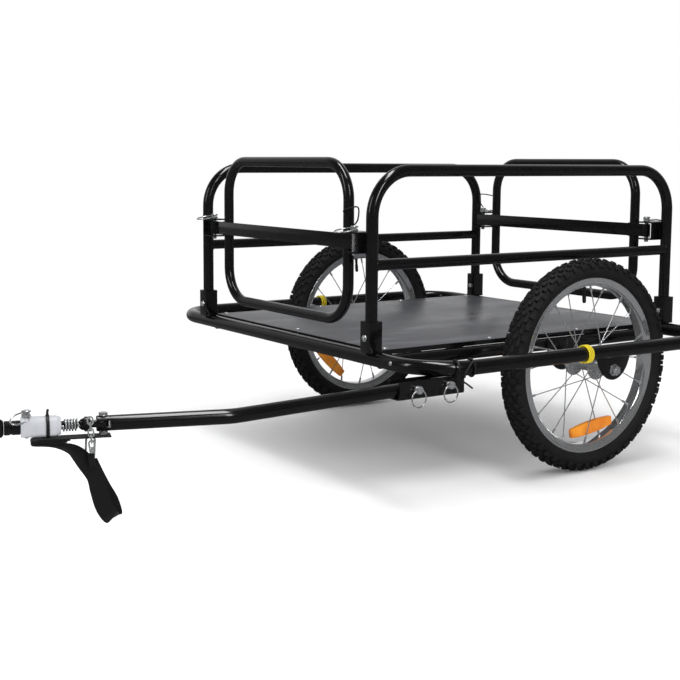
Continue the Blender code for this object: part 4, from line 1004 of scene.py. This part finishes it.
for side, side_name in SIDES:
    for place, face in (("inner", INNER_PLATE_Y), ("outer", OUTER_PLATE_Y)):
        piece(plate(side, face), f"{place}_hanger_{side_name}", "frame", BLACK,
              f"{place}_axle_plate_{side_name}")
    far = OUTER_PLATE_Y + PLATE_WALL

    def at(y):
        return Vector((WHEEL_X, side * y, WHEEL_RADIUS))

    spindle = [rod(at(INNER_PLATE_Y - NUT_DEPTH - AXLE_END), at(far + NUT_DEPTH + AXLE_END),
                   AXLE_RADIUS, 24, 0.0006),
               hexagon(at(INNER_PLATE_Y - GAP - NUT_DEPTH), at(INNER_PLATE_Y - GAP - 0.0012), NUT_RADIUS),
               hexagon(at(far + GAP + 0.0012), at(far + GAP + NUT_DEPTH), NUT_RADIUS),
               rod(at(INNER_PLATE_Y - GAP - 0.0012), at(INNER_PLATE_Y - GAP), NUT_RADIUS * 1.15, 28, 0.0002),
               rod(at(far + GAP), at(far + GAP + 0.0012), NUT_RADIUS * 1.15, 28, 0.0002)]
    spindle.append(rod(at(INNER_PLATE_Y + PLATE_WALL + GAP), at(WHEEL_Y - HUB_HALF - HUB_CLEARANCE),
                       SPACER_RADIUS, 24, 0.0005))
    spindle.append(rod(at(WHEEL_Y + HUB_HALF + HUB_CLEARANCE), at(OUTER_PLATE_Y - GAP),
                       SPACER_RADIUS, 24, 0.0005))
    piece(joined(*spindle), f"axle_and_nuts_{side_name}", "frame", ZINC, f"axle_{side_name}")

# %% [markdown]
# ## Valves and reflectors
# The valve is a rubber stem with a screw cap. A reflector is a flat amber lens that clips to
# two spokes. Its long edges arch a little, so it is a bar whose slices get lower towards its ends.

# %% Valves and reflectors
VALVE_RADIUS = 0.0038
VALVE_LENGTH = 0.030
VALVE_ANGLE = math.radians(86)
REFLECTOR_ARC = 0.340
REFLECTOR_HALF_LENGTH = 0.052
REFLECTOR_REACH = 0.1195
REFLECTOR_HALF_HEIGHT = 0.01175
REFLECTOR_HALF_DEPTH = 0.0043
REFLECTOR_EDGE = 0.0016
REFLECTOR_ANGLES = {"left": math.radians(-98.5), "right": math.radians(-45)}


def valve(centre):
    out = Vector((math.cos(VALVE_ANGLE), 0, math.sin(VALVE_ANGLE)))
    wide = VALVE_RADIUS
    profile = [(0, 0), (0, wide * 1.0), (0.002, wide), (0.003, wide * 0.82), (0.014, wide * 0.74),
               (0.0145, wide * 0.95), (0.027, wide * 0.9), (VALVE_LENGTH, wide * 0.7), (VALVE_LENGTH, 0)]
    return lathe(profile, centre + out * (RIM_WELL - 0.0009), -out, 24)


def reflector(centre, angle):
    """A bar cut across many times, whose slices are scaled so that both long edges arch."""
    shape = bmesh.new()
    size = Matrix.Diagonal((2 * REFLECTOR_HALF_LENGTH, 2 * REFLECTOR_HALF_DEPTH,
                            2 * REFLECTOR_HALF_HEIGHT, 1))
    bmesh.ops.create_cube(shape, size=1, matrix=size)
    long_edges = [edge for edge in shape.edges
                  if abs((edge.verts[0].co - edge.verts[1].co).x) > REFLECTOR_HALF_LENGTH]
    bmesh.ops.subdivide_edges(shape, edges=long_edges, cuts=15, use_grid_fill=True)
    for vert in shape.verts:
        vert.co.z *= 1 - vert.co.x ** 2 / (2 * REFLECTOR_ARC * REFLECTOR_HALF_HEIGHT)
    rims = [edge for edge in shape.edges if edge.calc_face_angle(0) > 1.0]
    soften(shape, rims, REFLECTOR_EDGE, 3)
    spot = centre + Vector((math.cos(angle), 0, math.sin(angle))) * REFLECTOR_REACH
    lean = Matrix.Rotation(-angle - math.pi / 2, 4, "Y")
    bmesh.ops.transform(shape, matrix=Matrix.Translation(spot) @ lean, verts=shape.verts)
    bmesh.ops.recalc_face_normals(shape, faces=shape.faces)
    return shape


for side, side_name in SIDES:
    centre = wheel_centre(side)
    piece(valve(centre), f"valve_stem_{side_name}", f"wheel_{side_name}", VALVE, f"valve_{side_name}")
    piece(reflector(centre, REFLECTOR_ANGLES[side_name]), f"amber_reflector_{side_name}",
          f"wheel_{side_name}", AMBER, f"reflector_{side_name}")

# %% [markdown]
# ## The yellow cord on the ring
# Three tight turns of yellow cord mark the middle of each side. The path is a helix, and the tube that
# follows it carries a UV map, so that the twist of the strands runs along the cord.

# %% Yellow cord
BAND_LOOPS = 3
BAND_WIRE = 0.0016
BAND_PITCH = 0.0045
BAND_PLACES = {"left": (1, 0.014), "right": (-1, -0.018)}
for side_name, (side, x) in BAND_PLACES.items():
    reach = RING_RADIUS + BAND_WIRE + 2 * GAP
    path = []
    for i in range(BAND_LOOPS * 36 + 1):
        turn = 2 * math.pi * i / 36
        along = x + BAND_PITCH * (i / 36 - BAND_LOOPS / 2)
        path.append((along, side * RING_HALF_WIDTH + reach * math.sin(turn),
                     RING_HEIGHT - reach * math.cos(turn)))
    piece(tube(path, BAND_WIRE * 0.9, 12), f"yellow_cord_{side_name}", "frame", YELLOW,
          f"yellow_band_{side_name}")

# %% [markdown]
# ## The drawbar and its socket
# The drawbar is a tube with one bend. Its rear end lies in a folded trough under the ring, and two ring
# pins lock it there. Its front end is slotted to take the hitch's tongue: the tube stops where the slot
# begins, and two cheeks, sliced from a round bar, go on from there.

# %% Drawbar, socket and lock pins
DRAWBAR_RADIUS = 0.011
DRAWBAR_Y = 0.420
DRAWBAR_REAR = Vector((0.285, DRAWBAR_Y, 0.2095))
BEND_POINT = Vector((0.700, DRAWBAR_Y, 0.199))
DRAWBAR_TURN = math.radians(18)
DRAWBAR_BEND = 0.080
DRAWBAR_FRONT_RUN = 0.1935
SLOT_DEPTH = 0.0190
SLOT_HALF = 0.005
FORWARD = Vector((math.cos(DRAWBAR_TURN), -math.sin(DRAWBAR_TURN), 0))
SIDEWAYS = Vector((math.sin(DRAWBAR_TURN), math.cos(DRAWBAR_TURN), 0))
SOCKET_REAR_X = 0.280
SOCKET_FRONT_X = 0.411
SOCKET_HALF = DRAWBAR_RADIUS + 0.0010
SOCKET_WALL = 0.0025
LOCK_PINS = {"front": 0.3766, "rear": 0.3120}
LOCK_PIN_RADIUS = 0.004


def hitch_point(run, side=0.0, rise=0.0):
    """A point on the drawbar's front run, beside it and above it."""
    return BEND_POINT + FORWARD * run + SIDEWAYS * side + UP * rise


def drawbar_z(x):
    share = (x - DRAWBAR_REAR.x) / (BEND_POINT.x - DRAWBAR_REAR.x)
    return DRAWBAR_REAR.z + (BEND_POINT.z - DRAWBAR_REAR.z) * share


def cheek(way):
    """The part of a round bar that lies above or below the slot."""
    shape = rod(hitch_point(DRAWBAR_FRONT_RUN - SLOT_DEPTH), hitch_point(DRAWBAR_FRONT_RUN),
                DRAWBAR_RADIUS, 36, 0.0006)
    level = hitch_point(0, 0, way * SLOT_HALF)
    bmesh.ops.bisect_plane(shape, geom=shape.verts[:] + shape.edges[:] + shape.faces[:], plane_co=level,
                           plane_no=(0, 0, way), clear_inner=True)
    bmesh.ops.holes_fill(shape, edges=shape.edges)
    bmesh.ops.recalc_face_normals(shape, faces=shape.faces)
    return shape


drawbar_path = bent([DRAWBAR_REAR, BEND_POINT, hitch_point(DRAWBAR_FRONT_RUN - SLOT_DEPTH)], DRAWBAR_BEND, 14)
piece(joined(tube(drawbar_path, DRAWBAR_RADIUS, 36), cheek(1), cheek(-1)), "drawbar_tube", "frame",
      BLACK, "drawbar")
outside = SOCKET_HALF + SOCKET_WALL
socket_low = drawbar_z(SOCKET_FRONT_X) - outside
trough = folded((SOCKET_REAR_X, DRAWBAR_Y - outside, socket_low),
                (SOCKET_FRONT_X, DRAWBAR_Y + outside, RING_HEIGHT - RING_RADIUS - GAP), SOCKET_WALL,
                [(1, 0, 0), (-1, 0, 0), UP], 0.0035)
piece(trough, "drawbar_trough", "frame", BLACK, "drawbar_socket")
for name, x in LOCK_PINS.items():
    foot = (x, DRAWBAR_Y - outside - PIN_TAIL, drawbar_z(x))
    shape = ring_pin(foot, (0, 1, 0), 2 * outside + PIN_TAIL + GAP, LOCK_PIN_RADIUS, (1, 0, 0), (0, 0, -1),
                     LOCK_RING_RADIUS)
    piece(shape, f"drawbar_ring_pin_{name}", f"drawbar_pin_{name}", ZINC, f"lock_pin_{name}")

# %% [markdown]
# ## The hitch
# A tongue swivels on an upright bolt in the drawbar's slot. A coil spring over a round seat lets the
# coupler flex, and a nylon sleeve with a ring pin joins it to the coupler's stub. The spring's wire is a
# helix with straight ends.

# %% Swivel, spring, sleeve and coupler
HITCH_BOLT_RUN = 0.184
HITCH_BOLT_RADIUS = 0.003
HITCH_HEAD = 0.0065
HITCH_HEAD_DEPTH = 0.0045
TONGUE_HALF = 0.008
TONGUE_THICK = 0.008
BALL_RUN = 0.2100
BALL_RADIUS = 0.0087
COLLAR_RADIUS = 0.0105
COLLAR_LENGTH = 0.0082
SPRING_RUN = 0.2190
SPRING_LENGTH = 0.0200
SPRING_RADIUS = 0.0077
SPRING_WIRE = 0.0013
SPRING_TURNS = 5
SLEEVE_LENGTH = 0.054
SLEEVE_RADIUS = 0.0145
SLEEVE_RUN = SPRING_RUN + SPRING_LENGTH + 2 * SPRING_WIRE + GAP
STUB_LENGTH = 0.022
STUB_RADIUS = 0.010
STUB_RUN = SLEEVE_RUN + SLEEVE_LENGTH + GAP
COUPLER_RUN = STUB_RUN + STUB_LENGTH + GAP
COUPLER_LENGTH = 0.040
COUPLER_HALF = 0.013
COUPLER_WALL = 0.005
COUPLER_EDGE = 0.0005
COUPLER_HOLE = 0.0052
COUPLER_HOLE_RUN = COUPLER_RUN + COUPLER_LENGTH - 0.0152
COUPLER_PIN_RUN = 0.2882
COUPLER_PIN_RADIUS = 0.0035

head = DRAWBAR_RADIUS + GAP
swivel_bolt = [rod(hitch_point(HITCH_BOLT_RUN, 0, -head), hitch_point(HITCH_BOLT_RUN, 0, head),
                   HITCH_BOLT_RADIUS, 20)]
for way in (1, -1):
    seat = hitch_point(HITCH_BOLT_RUN, 0, way * head)
    swivel_bolt.append(rod(seat, seat + UP * way * 0.0008, HITCH_HEAD * 0.98, 28, 0.0002))
    swivel_bolt.append(hexagon(seat + UP * way * 0.0009, seat + UP * way * HITCH_HEAD_DEPTH, HITCH_HEAD))
piece(joined(*swivel_bolt), "swivel_bolt", "frame", ZINC, "hitch_bolt")


def along_hitch(shape):
    """Turns a shape that was made along X onto the drawbar's front run."""
    bmesh.ops.transform(shape, matrix=Matrix.Translation(BEND_POINT) @ Matrix.Rotation(-DRAWBAR_TURN, 4, "Z"),
                        verts=shape.verts)
    return shape


tongue = along_hitch(block((HITCH_BOLT_RUN, -TONGUE_HALF, -TONGUE_THICK / 2),
                           (BALL_RUN - 0.004, TONGUE_HALF, TONGUE_THICK / 2)))
heel = rod(hitch_point(HITCH_BOLT_RUN, 0, -TONGUE_THICK / 2),
           hitch_point(HITCH_BOLT_RUN, 0, TONGUE_THICK / 2), TONGUE_HALF, 32, 0.0006)
dome = crown(BALL_RADIUS, BALL_RADIUS, range(-90, 91, 9))
collar = rod(hitch_point(BALL_RUN - COLLAR_LENGTH), hitch_point(BALL_RUN), COLLAR_RADIUS, 36, 0.0006)
piece(joined(tongue, heel, collar, lathe(dome, hitch_point(BALL_RUN), FORWARD, 32)), "swivel_tongue",
      "swivel", BLACK, "hitch_tongue")

coil = [hitch_point(SPRING_RUN - 2 * SPRING_WIRE, SPRING_RADIUS)]
for i in range(SPRING_TURNS * 28 + 1):
    turn = 2 * math.pi * i / 28
    run = SPRING_RUN + SPRING_LENGTH * i / (SPRING_TURNS * 28)
    coil.append(hitch_point(run, SPRING_RADIUS * math.cos(turn), SPRING_RADIUS * math.sin(turn)))
coil.append(hitch_point(SPRING_RUN + SPRING_LENGTH + 2 * SPRING_WIRE, SPRING_RADIUS))
piece(tube(coil, SPRING_WIRE, 12), "flex_spring", "coupler", STAINLESS, "hitch_spring")

core = rod(hitch_point(BALL_RUN + BALL_RADIUS + 2 * GAP), hitch_point(SLEEVE_RUN - GAP),
           SPRING_RADIUS - SPRING_WIRE - GAP, 24, 0.0008)
piece(core, "spring_core", "coupler", BLACK)

wide, long = SLEEVE_RADIUS, SLEEVE_LENGTH
sleeve = [(0, 0), (0, wide * 0.80), (0.0008, wide * 0.86), (0.004, wide * 0.9),
          (0.0055, wide * 0.985), (0.0075, wide),
          (long * 0.62, wide), (long * 0.625, wide * 0.985), (long * 0.64, wide * 0.985),
          (long * 0.645, wide),
          (long - 0.002, wide * 0.99), (long - 0.0006, wide * 0.95), (long, wide * 0.9), (long, 0)]
piece(lathe(sleeve, hitch_point(SLEEVE_RUN), FORWARD, 48), "nylon_sleeve", "coupler", NYLON,
      "hitch_sleeve")
stub = [(0, 0), (0, STUB_RADIUS - 0.0008), (0.0008, STUB_RADIUS), (STUB_LENGTH * 0.5, STUB_RADIUS),
        (STUB_LENGTH * 0.55, STUB_RADIUS * 0.9), (STUB_LENGTH * 0.62, STUB_RADIUS * 0.9),
        (STUB_LENGTH * 0.67, STUB_RADIUS), (STUB_LENGTH - 0.0008, STUB_RADIUS),
        (STUB_LENGTH, STUB_RADIUS - 0.0008), (STUB_LENGTH, 0)]
piece(lathe(stub, hitch_point(STUB_RUN), FORWARD, 40), "stub", "coupler", BLACK, "coupler_stub")


def coupler_plate():
    """A plate with a round hole: outline and hole are filled together, and the sheet is then thickened."""
    shape = bmesh.new()
    lying = Matrix.Translation((COUPLER_HOLE_RUN, 0, 0)) @ Matrix.Rotation(math.pi / 2, 4, "X")
    bmesh.ops.create_circle(shape, segments=40, radius=COUPLER_HOLE, matrix=lying)
    low = Vector((COUPLER_RUN, 0, -COUPLER_HALF))
    high = Vector((COUPLER_RUN + COUPLER_LENGTH, 0, COUPLER_HALF))
    corners = [(low.x, 0, low.z), (high.x, 0, low.z), (high.x, 0, high.z), (low.x, 0, high.z)]
    outline = [shape.verts.new(spot) for spot in bent(corners, 0.006, 6, closed=True)]
    for first, second in zip(outline, outline[1:] + outline[:1]):
        shape.edges.new((first, second))
    bmesh.ops.triangle_fill(shape, use_beauty=True, edges=shape.edges[:])
    bmesh.ops.translate(shape, vec=(0, -COUPLER_WALL / 2, 0), verts=shape.verts)
    grown = bmesh.ops.extrude_face_region(shape, geom=shape.faces[:])["geom"]
    bmesh.ops.translate(shape, vec=(0, COUPLER_WALL, 0),
                        verts=[v for v in grown if isinstance(v, bmesh.types.BMVert)])
    bmesh.ops.recalc_face_normals(shape, faces=shape.faces)
    rims = [edge for edge in shape.edges if edge.calc_face_angle(0) > 1.2]
    soften(shape, rims, COUPLER_EDGE, 2)
    return along_hitch(shape)


piece(coupler_plate(), "coupler_eye_plate", "coupler", BLACK, "coupler_plate")
foot = hitch_point(COUPLER_PIN_RUN, 0, -SLEEVE_RADIUS - 0.001)
hang = (SIDEWAYS * 0.70 + FORWARD * 0.60 - UP * 0.42).normalized()
across = hang.cross(UP).normalized()
piece(ring_pin(foot, UP, 2 * SLEEVE_RADIUS + 0.001 + GAP, COUPLER_PIN_RADIUS, across, hang, LOCK_RING_RADIUS),
      "coupler_ring_pin", "coupler_lock", ZINC, "coupler_pin")

# %% [markdown]
# ## The safety strap
# Webbing from the swivel bolt runs forward under the sleeve, folds back on itself and hangs in one long
# bight, whose end comes up behind to a snap hook. The route's points are listed and a smooth curve goes
# through them. At each point a thin eight-cornered section is drawn across, and faces join each section
# to the next one.

# %% Strap
STRAP_WIDTH = 0.024
STRAP_WALL = 0.0018
HOOK_WIRE = 0.0016
under = -DRAWBAR_RADIUS - HITCH_HEAD_DEPTH - 3 * GAP - STRAP_WALL / 2
lean = (FORWARD * 0.75 - UP * 0.66).normalized()
STRAP_ROUTE = [(-0.010, 0, 0, 0), (0.030, 0, 0, 0), (0.080, 0, 0, 0), (0.0955, 0, -0.001, 0),
               (0.0985, 0, -0.004, 0), (0.0955, 0, -0.007, 0), (0.078, 0, -0.0085, 0),
               (0.0625, 0.001, -0.0105, 0.12),
               (0.045, 0.004, -0.016, 0.35), (0.0337, 0.006, -0.0255, 0.6), (0.0243, 0.007, -0.038, 0.85),
               (0.0129, 0.007, -0.0565, 1), (0.0084, 0.007, -0.0766, 1), (0.0032, 0.007, -0.0965, 1),
               (-0.0034, 0.006, -0.110, 1), (-0.0096, 0.002, -0.117, 1), (-0.013, -0.003, -0.1145, 1),
               (-0.008, -0.006, -0.0965, 1), (0.0025, -0.007, -0.0766, 1), (0.012, -0.007, -0.0565, 1),
               (0.020, -0.007, -0.038, 1)]


def smooth(points, steps):
    """Points of a curve that passes through every given point, steps to each stretch."""
    points = [Vector(point) for point in points]
    out = []
    for i in range(len(points) - 1):
        a, b = points[max(i - 1, 0)], points[i]
        c, d = points[i + 1], points[min(i + 2, len(points) - 1)]
        for step in range(steps):
            t = step / steps
            out.append(0.5 * ((2 * b) + (c - a) * t + (2 * a - 5 * b + 4 * c - d) * t * t
                              + (3 * b - a - 3 * c + d) * t ** 3))
    return out + [points[-1]]


def ribbon(route, width, wall, steps=6):
    """Webbing along a route of (run, side, drop, twist), four-sided, with a UV map in metres."""
    line = smooth([(run, side, drop) for run, side, drop, twist in route], steps)
    twists = smooth([(twist, 0, 0) for run, side, drop, twist in route], steps)
    spots = [hitch_point(HITCH_BOLT_RUN + p.x, p.y, under + p.z) for p in line]
    ways = facings(spots, False)
    shape = bmesh.new()
    layer = shape.loops.layers.uv.new("UVMap")
    rings, length = [], 0.0
    for i, (spot, way) in enumerate(zip(spots, ways)):
        across = (SIDEWAYS * (1 - twists[i].x) + lean * twists[i].x).normalized()
        across = (across - way * across.dot(way)).normalized()
        thick = way.cross(across) * wall / 2
        half = across * width / 2
        corners = [half + thick * 0.6, half * 0.96 + thick, -half * 0.96 + thick, -half + thick * 0.6,
                   -half - thick * 0.6, -half * 0.96 - thick, half * 0.96 - thick, half - thick * 0.6]
        length += (spot - spots[i - 1]).length if i else 0.0
        rings.append(([shape.verts.new(spot + corner) for corner in corners], length))
    breadths = [width, width * 0.98, width * 0.02, 0, 0, width * 0.02, width * 0.98, width]
    for (first, start), (second, end) in zip(rings, rings[1:]):
        for j in range(8):
            k = (j + 1) % 8
            face = shape.faces.new((first[j], first[k], second[k], second[j]))
            corners = ((start, breadths[j]), (start, breadths[k]), (end, breadths[k]), (end, breadths[j]))
            for loop, uv in zip(face.loops, corners):
                loop[layer].uv = uv
    for ring, length in (rings[0], rings[-1]):
        shape.faces.new(ring)
    bmesh.ops.recalc_face_normals(shape, faces=shape.faces)
    return shape


piece(ribbon(STRAP_ROUTE, STRAP_WIDTH, STRAP_WALL), "webbing_strap", "swivel", WEBBING, "safety_strap")
FOLDS = ((0.046, 0.0925, -0.0021), (0.050, 0.0900, -0.0042), (0.056, 0.0760, -0.0063))
bundle = [ribbon([(near, 0, drop, 0), ((near + far) / 2, 0, drop, 0), (far, 0, drop, 0)], STRAP_WIDTH * 0.96,
                 STRAP_WALL * 0.95) for near, far, drop in FOLDS]
piece(joined(*bundle), "folded_webbing", "swivel", WEBBING)

# %% [markdown]
# ## The snap hook and its chain
# Wire loops hang in one another from the bolt down to the strap's end. Each link is an oval path with
# round ends, turned a quarter against the one above.

# %% Hook and chain
def link(top, low, wide, half, wire):
    """An oval wire link between two points."""
    top, low, wide = Vector(top), Vector(low), Vector(wide).normalized() * half
    path = bent([top - wide, top + wide, low + wide, low - wide], half * 0.96, 8, closed=True)
    return tube(path, wire, 10, closed=True)


beside = -0.007 - STRAP_WALL / 2 - HOOK_WIRE - GAP
hook_top = hitch_point(HITCH_BOLT_RUN + 0.017, beside, under - STRAP_WALL / 2 - HOOK_WIRE - GAP)
hook_low = hitch_point(HITCH_BOLT_RUN + 0.019, beside, under - 0.040)
piece(link(hook_top, hook_low, FORWARD, 0.006, HOOK_WIRE), "snap_hook_wire", "swivel", STAINLESS,
      "snap_hook")
CHAIN_SIDE = DRAWBAR_RADIUS + 0.0028
CHAIN_LINKS = 5
CHAIN_TOP = 0.013
LINK_PITCH = 0.0085
LINK_LENGTH = 0.0115
LINK_HALF = 0.0036
LINK_WIRE = 0.0012
chain = []
for i in range(CHAIN_LINKS):
    top = hitch_point(HITCH_BOLT_RUN + 0.0195 - i * 0.0004, CHAIN_SIDE, CHAIN_TOP - i * LINK_PITCH)
    low = top - UP * LINK_LENGTH - FORWARD * 0.001
    chain.append(link(top, low, SIDEWAYS if i % 2 else FORWARD, LINK_HALF, LINK_WIRE))
snap = hitch_point(HITCH_BOLT_RUN + 0.0175, CHAIN_SIDE, -0.030)
chain.append(lathe([(0, 0), (0, 0.0026), (0.0015, 0.0036), (0.006, 0.0036), (0.0085, 0.0022), (0.0085, 0)],
                   snap, -UP, 20))
piece(joined(*chain), "clip_chain", "swivel", STAINLESS)
tab_side = CHAIN_SIDE - 0.0012
tab = ribbon([(0.0185, tab_side, -0.0385 - under, 1), (0.0182, tab_side, -0.044 - under, 1),
              (0.0172, tab_side - 0.002, -0.052 - under, 1), (0.0160, 0.0085, -0.060 - under, 1)], 0.0085,
             0.0022)
piece(tab, "strap_tab", "swivel", WEBBING)

# %% [markdown]
# ## Ties and lanyards
# Thin black cords keep the latch pins from getting lost, and nylon ties hold loose things together for
# the journey. A tie is a flat band round a tube, and its tail stands up past the lock.

# %% Ties
def along_x_screw(spot):
    """A small domed screw that faces forward."""
    profile = [(0, 0)] + crown(0.0018, 0.0038, range(0, 85, 12)) + [(0.0012, 0)]
    return lathe(profile, spot, (1, 0, 0), 24)


def band_round(centre, axis, reach, width, wall):
    """A flat band round a tube."""
    profile = [(-width / 2, reach), (-width / 2, reach + wall), (width / 2, reach + wall), (width / 2, reach)]
    return lathe(profile, centre, axis, 40, closed=True)


tie_run = SLEEVE_RUN + 0.018
sleeve_tie = [band_round(hitch_point(tie_run), FORWARD, SLEEVE_RADIUS + 0.0002, 0.0048, 0.0013)]
tie_tail = bent([hitch_point(tie_run, 0.002, SLEEVE_RADIUS + 0.001),
                 hitch_point(tie_run, 0, SLEEVE_RADIUS + 0.005),
                 hitch_point(tie_run - 0.001, -0.004, SLEEVE_RADIUS + 0.0075)], 0.002, 4)
sleeve_tie.append(tube(tie_tail, 0.0019, 10))
piece(joined(*sleeve_tie), "sleeve_tie", "coupler", TIE)

TIE_WIRE = 0.0017
TAIL_WIRE = 0.0015
ring_ties = []
for x in (0.273, 0.305):
    path = [(x + 0.003 * math.sin(a), RING_HALF_WIDTH + (RING_RADIUS + TIE_WIRE) * math.sin(a),
             RING_HEIGHT + (RING_RADIUS + TIE_WIRE) * math.cos(a))
            for a in (2 * math.pi * i / 36 for i in range(36))]
    ring_ties.append(tube(path, TIE_WIRE, 10, closed=True))
tie_tails = [[(0.309, 0.4562, 0.226), (0.3067, 0.4560, 0.2177), (0.2962, 0.4556, 0.2134),
              (0.2803, 0.4552, 0.2029)],
             [(0.2740, 0.4565, 0.2400), (0.2808, 0.4560, 0.2457), (0.2950, 0.4564, 0.2308),
              (0.2979, 0.4562, 0.2214)]]
ring_ties += [tube(smooth(tail, 5), TAIL_WIRE, 10) for tail in tie_tails]
piece(joined(*ring_ties), "ring_ties", "frame", TIE)
piece(along_x_screw((RING_HALF_LENGTH + RING_RADIUS - 0.0002, 0.352, 0.236)), "ring_screw", "frame", ZINC)

# %% Lanyards
CORD_RADIUS = 0.0013
for end, end_name in ENDS:
    side = end
    side_name = "left" if side > 0 else "right"
    top = BAR_LEVEL + tall + KNOB_DEPTH + GAP
    outward = end * (GATE_RADIUS + CORD_RADIUS + GAP)
    start = Vector((end * GATE_PLANE + outward, side * GATE_HALF_WIDTH, top + 0.022))
    knob = Vector((pin_x(end, side), side * GATE_PIN_Y, top + CORD_RADIUS + GAP))
    corners = [start, start + Vector((end * 0.004, side * 0.012, 0.004)),
               knob + Vector((end * 0.002, side * 0.012, 0.030)),
               knob + Vector((0, side * 0.010, 0.010)), knob]
    path = smooth(corners, 8)
    lanyard = piece(tube(path, CORD_RADIUS, 10), f"{end_name}_pin_lanyard", f"pin_{end_name}_{side_name}",
                    CORD, f"{end_name}_lanyard")

# %% [markdown]
# ## Floor and light
# The floor is pale and the world is white, as in a white studio, and three area lamps add to their light.
# Shiny surfaces alone see a dark floor and a dim world that grows brighter ahead of the camera, so that
# black tubes stay black with thin highlights. Far from the trailer the floor turns plain white.

# %% Floor, lamps and world
def floor_paint():
    """Pale paint that keeps shadows near the trailer and turns plain white far away."""
    made, tree = material("pale_studio_floor", Roughness=0.9)
    shader = tree.nodes["Principled BSDF"]
    ray = node(tree, "LightPath")
    spot = node(tree, "TexCoord").outputs["Object"]
    grain = node(tree, "TexNoise", Vector=spot, Scale=3.0, Detail=2.0)
    pale = node(tree, "Mix", RGBA, s0=grain.outputs["Fac"], s6=linear("#f6f6f6"), s7=linear("#fafafa"))
    colour = node(tree, "Mix", RGBA, s0=ray.outputs["Is Glossy Ray"], s6=pale.outputs[COLOUR_OUT],
                  s7=linear("#505052"))
    tree.links.new(colour.outputs[COLOUR_OUT], shader.inputs["Base Color"])
    reach = node(tree, "VectorMath", {"operation": "LENGTH"}, s0=spot)
    far = node(tree, "MapRange", Value=reach.outputs["Value"], From_Min=SHADOW_REACH,
               From_Max=2.2 * SHADOW_REACH)
    seen = node(tree, "Math", {"operation": "MULTIPLY"}, s0=far.outputs["Result"],
                s1=ray.outputs["Is Camera Ray"])
    white = node(tree, "Emission", Color=(1, 1, 1, 1))
    mixed = node(tree, "MixShader", s0=seen.outputs["Value"], s1=shader.outputs["BSDF"],
                 s2=white.outputs["Emission"])
    tree.links.new(mixed.outputs["Shader"], tree.nodes["Material Output"].inputs["Surface"])
    return made


FLOOR_HALF = 14.0
SHADOW_REACH = 1.3
ground = bmesh.new()
bmesh.ops.create_grid(ground, x_segments=2, y_segments=2, size=FLOOR_HALF)
floor_mesh = bpy.data.meshes.new("studio_floor")
ground.to_mesh(floor_mesh)
ground.free()
floor_mesh.materials.append(floor_paint())
floor = bpy.data.objects.new("studio_floor", floor_mesh)
bpy.context.scene.collection.objects.link(floor)

world = bpy.data.worlds.new("white_studio")
bpy.context.scene.world = world
world.use_nodes = True
sky = world.node_tree
ray = node(sky, "LightPath")
way = node(sky, "TexCoord").outputs["Generated"]
ahead = node(sky, "VectorMath", {"operation": "DOT_PRODUCT"}, s0=way, s1=(*forward.xy.normalized(), 0.0))
mirror = node(sky, "MapRange", Value=ahead.outputs["Value"], From_Min=0.2, From_Max=1.0,
              To_Min=0.05, To_Max=0.6)
strength = node(sky, "Mix", s0=ray.outputs["Is Glossy Ray"], s2=1.0, s3=mirror.outputs["Result"])
background = sky.nodes["Background"]
background.inputs["Color"].default_value = (1, 1, 1, 1)
sky.links.new(strength.outputs["Result"], background.inputs["Strength"])


def lamp(name, spot, aim, width, height, watts):
    light = bpy.data.lights.new(name, "AREA")
    light.shape = "RECTANGLE"
    light.size, light.size_y, light.energy = width, height, watts
    made = bpy.data.objects.new(name, light)
    made.matrix_world = (Matrix.Translation(Vector(spot))
                         @ (Vector(aim) - Vector(spot)).to_track_quat("-Z", "Y").to_matrix().to_4x4())
    bpy.context.scene.collection.objects.link(made)


MIDDLE = (0.0, 0.0, 0.3)
lamp("overhead_softbox", (0.1, 0.5, 2.6), MIDDLE, 0.5, 1.9, 27)
lamp("left_strip", (0.3, 2.8, 1.7), MIDDLE, 0.5, 1.4, 14)
lamp("front_fill", (2.6, -0.3, 1.5), MIDDLE, 0.4, 1.4, 8)
bpy.context.scene.view_settings.view_transform = "Standard"

# %% [markdown]
# ## The end
# The view layer is updated, so that every piece stands where it was put. The dressed trailer
# has to stay inside the model's own box.

# %% The end
bpy.context.view_layer.update()
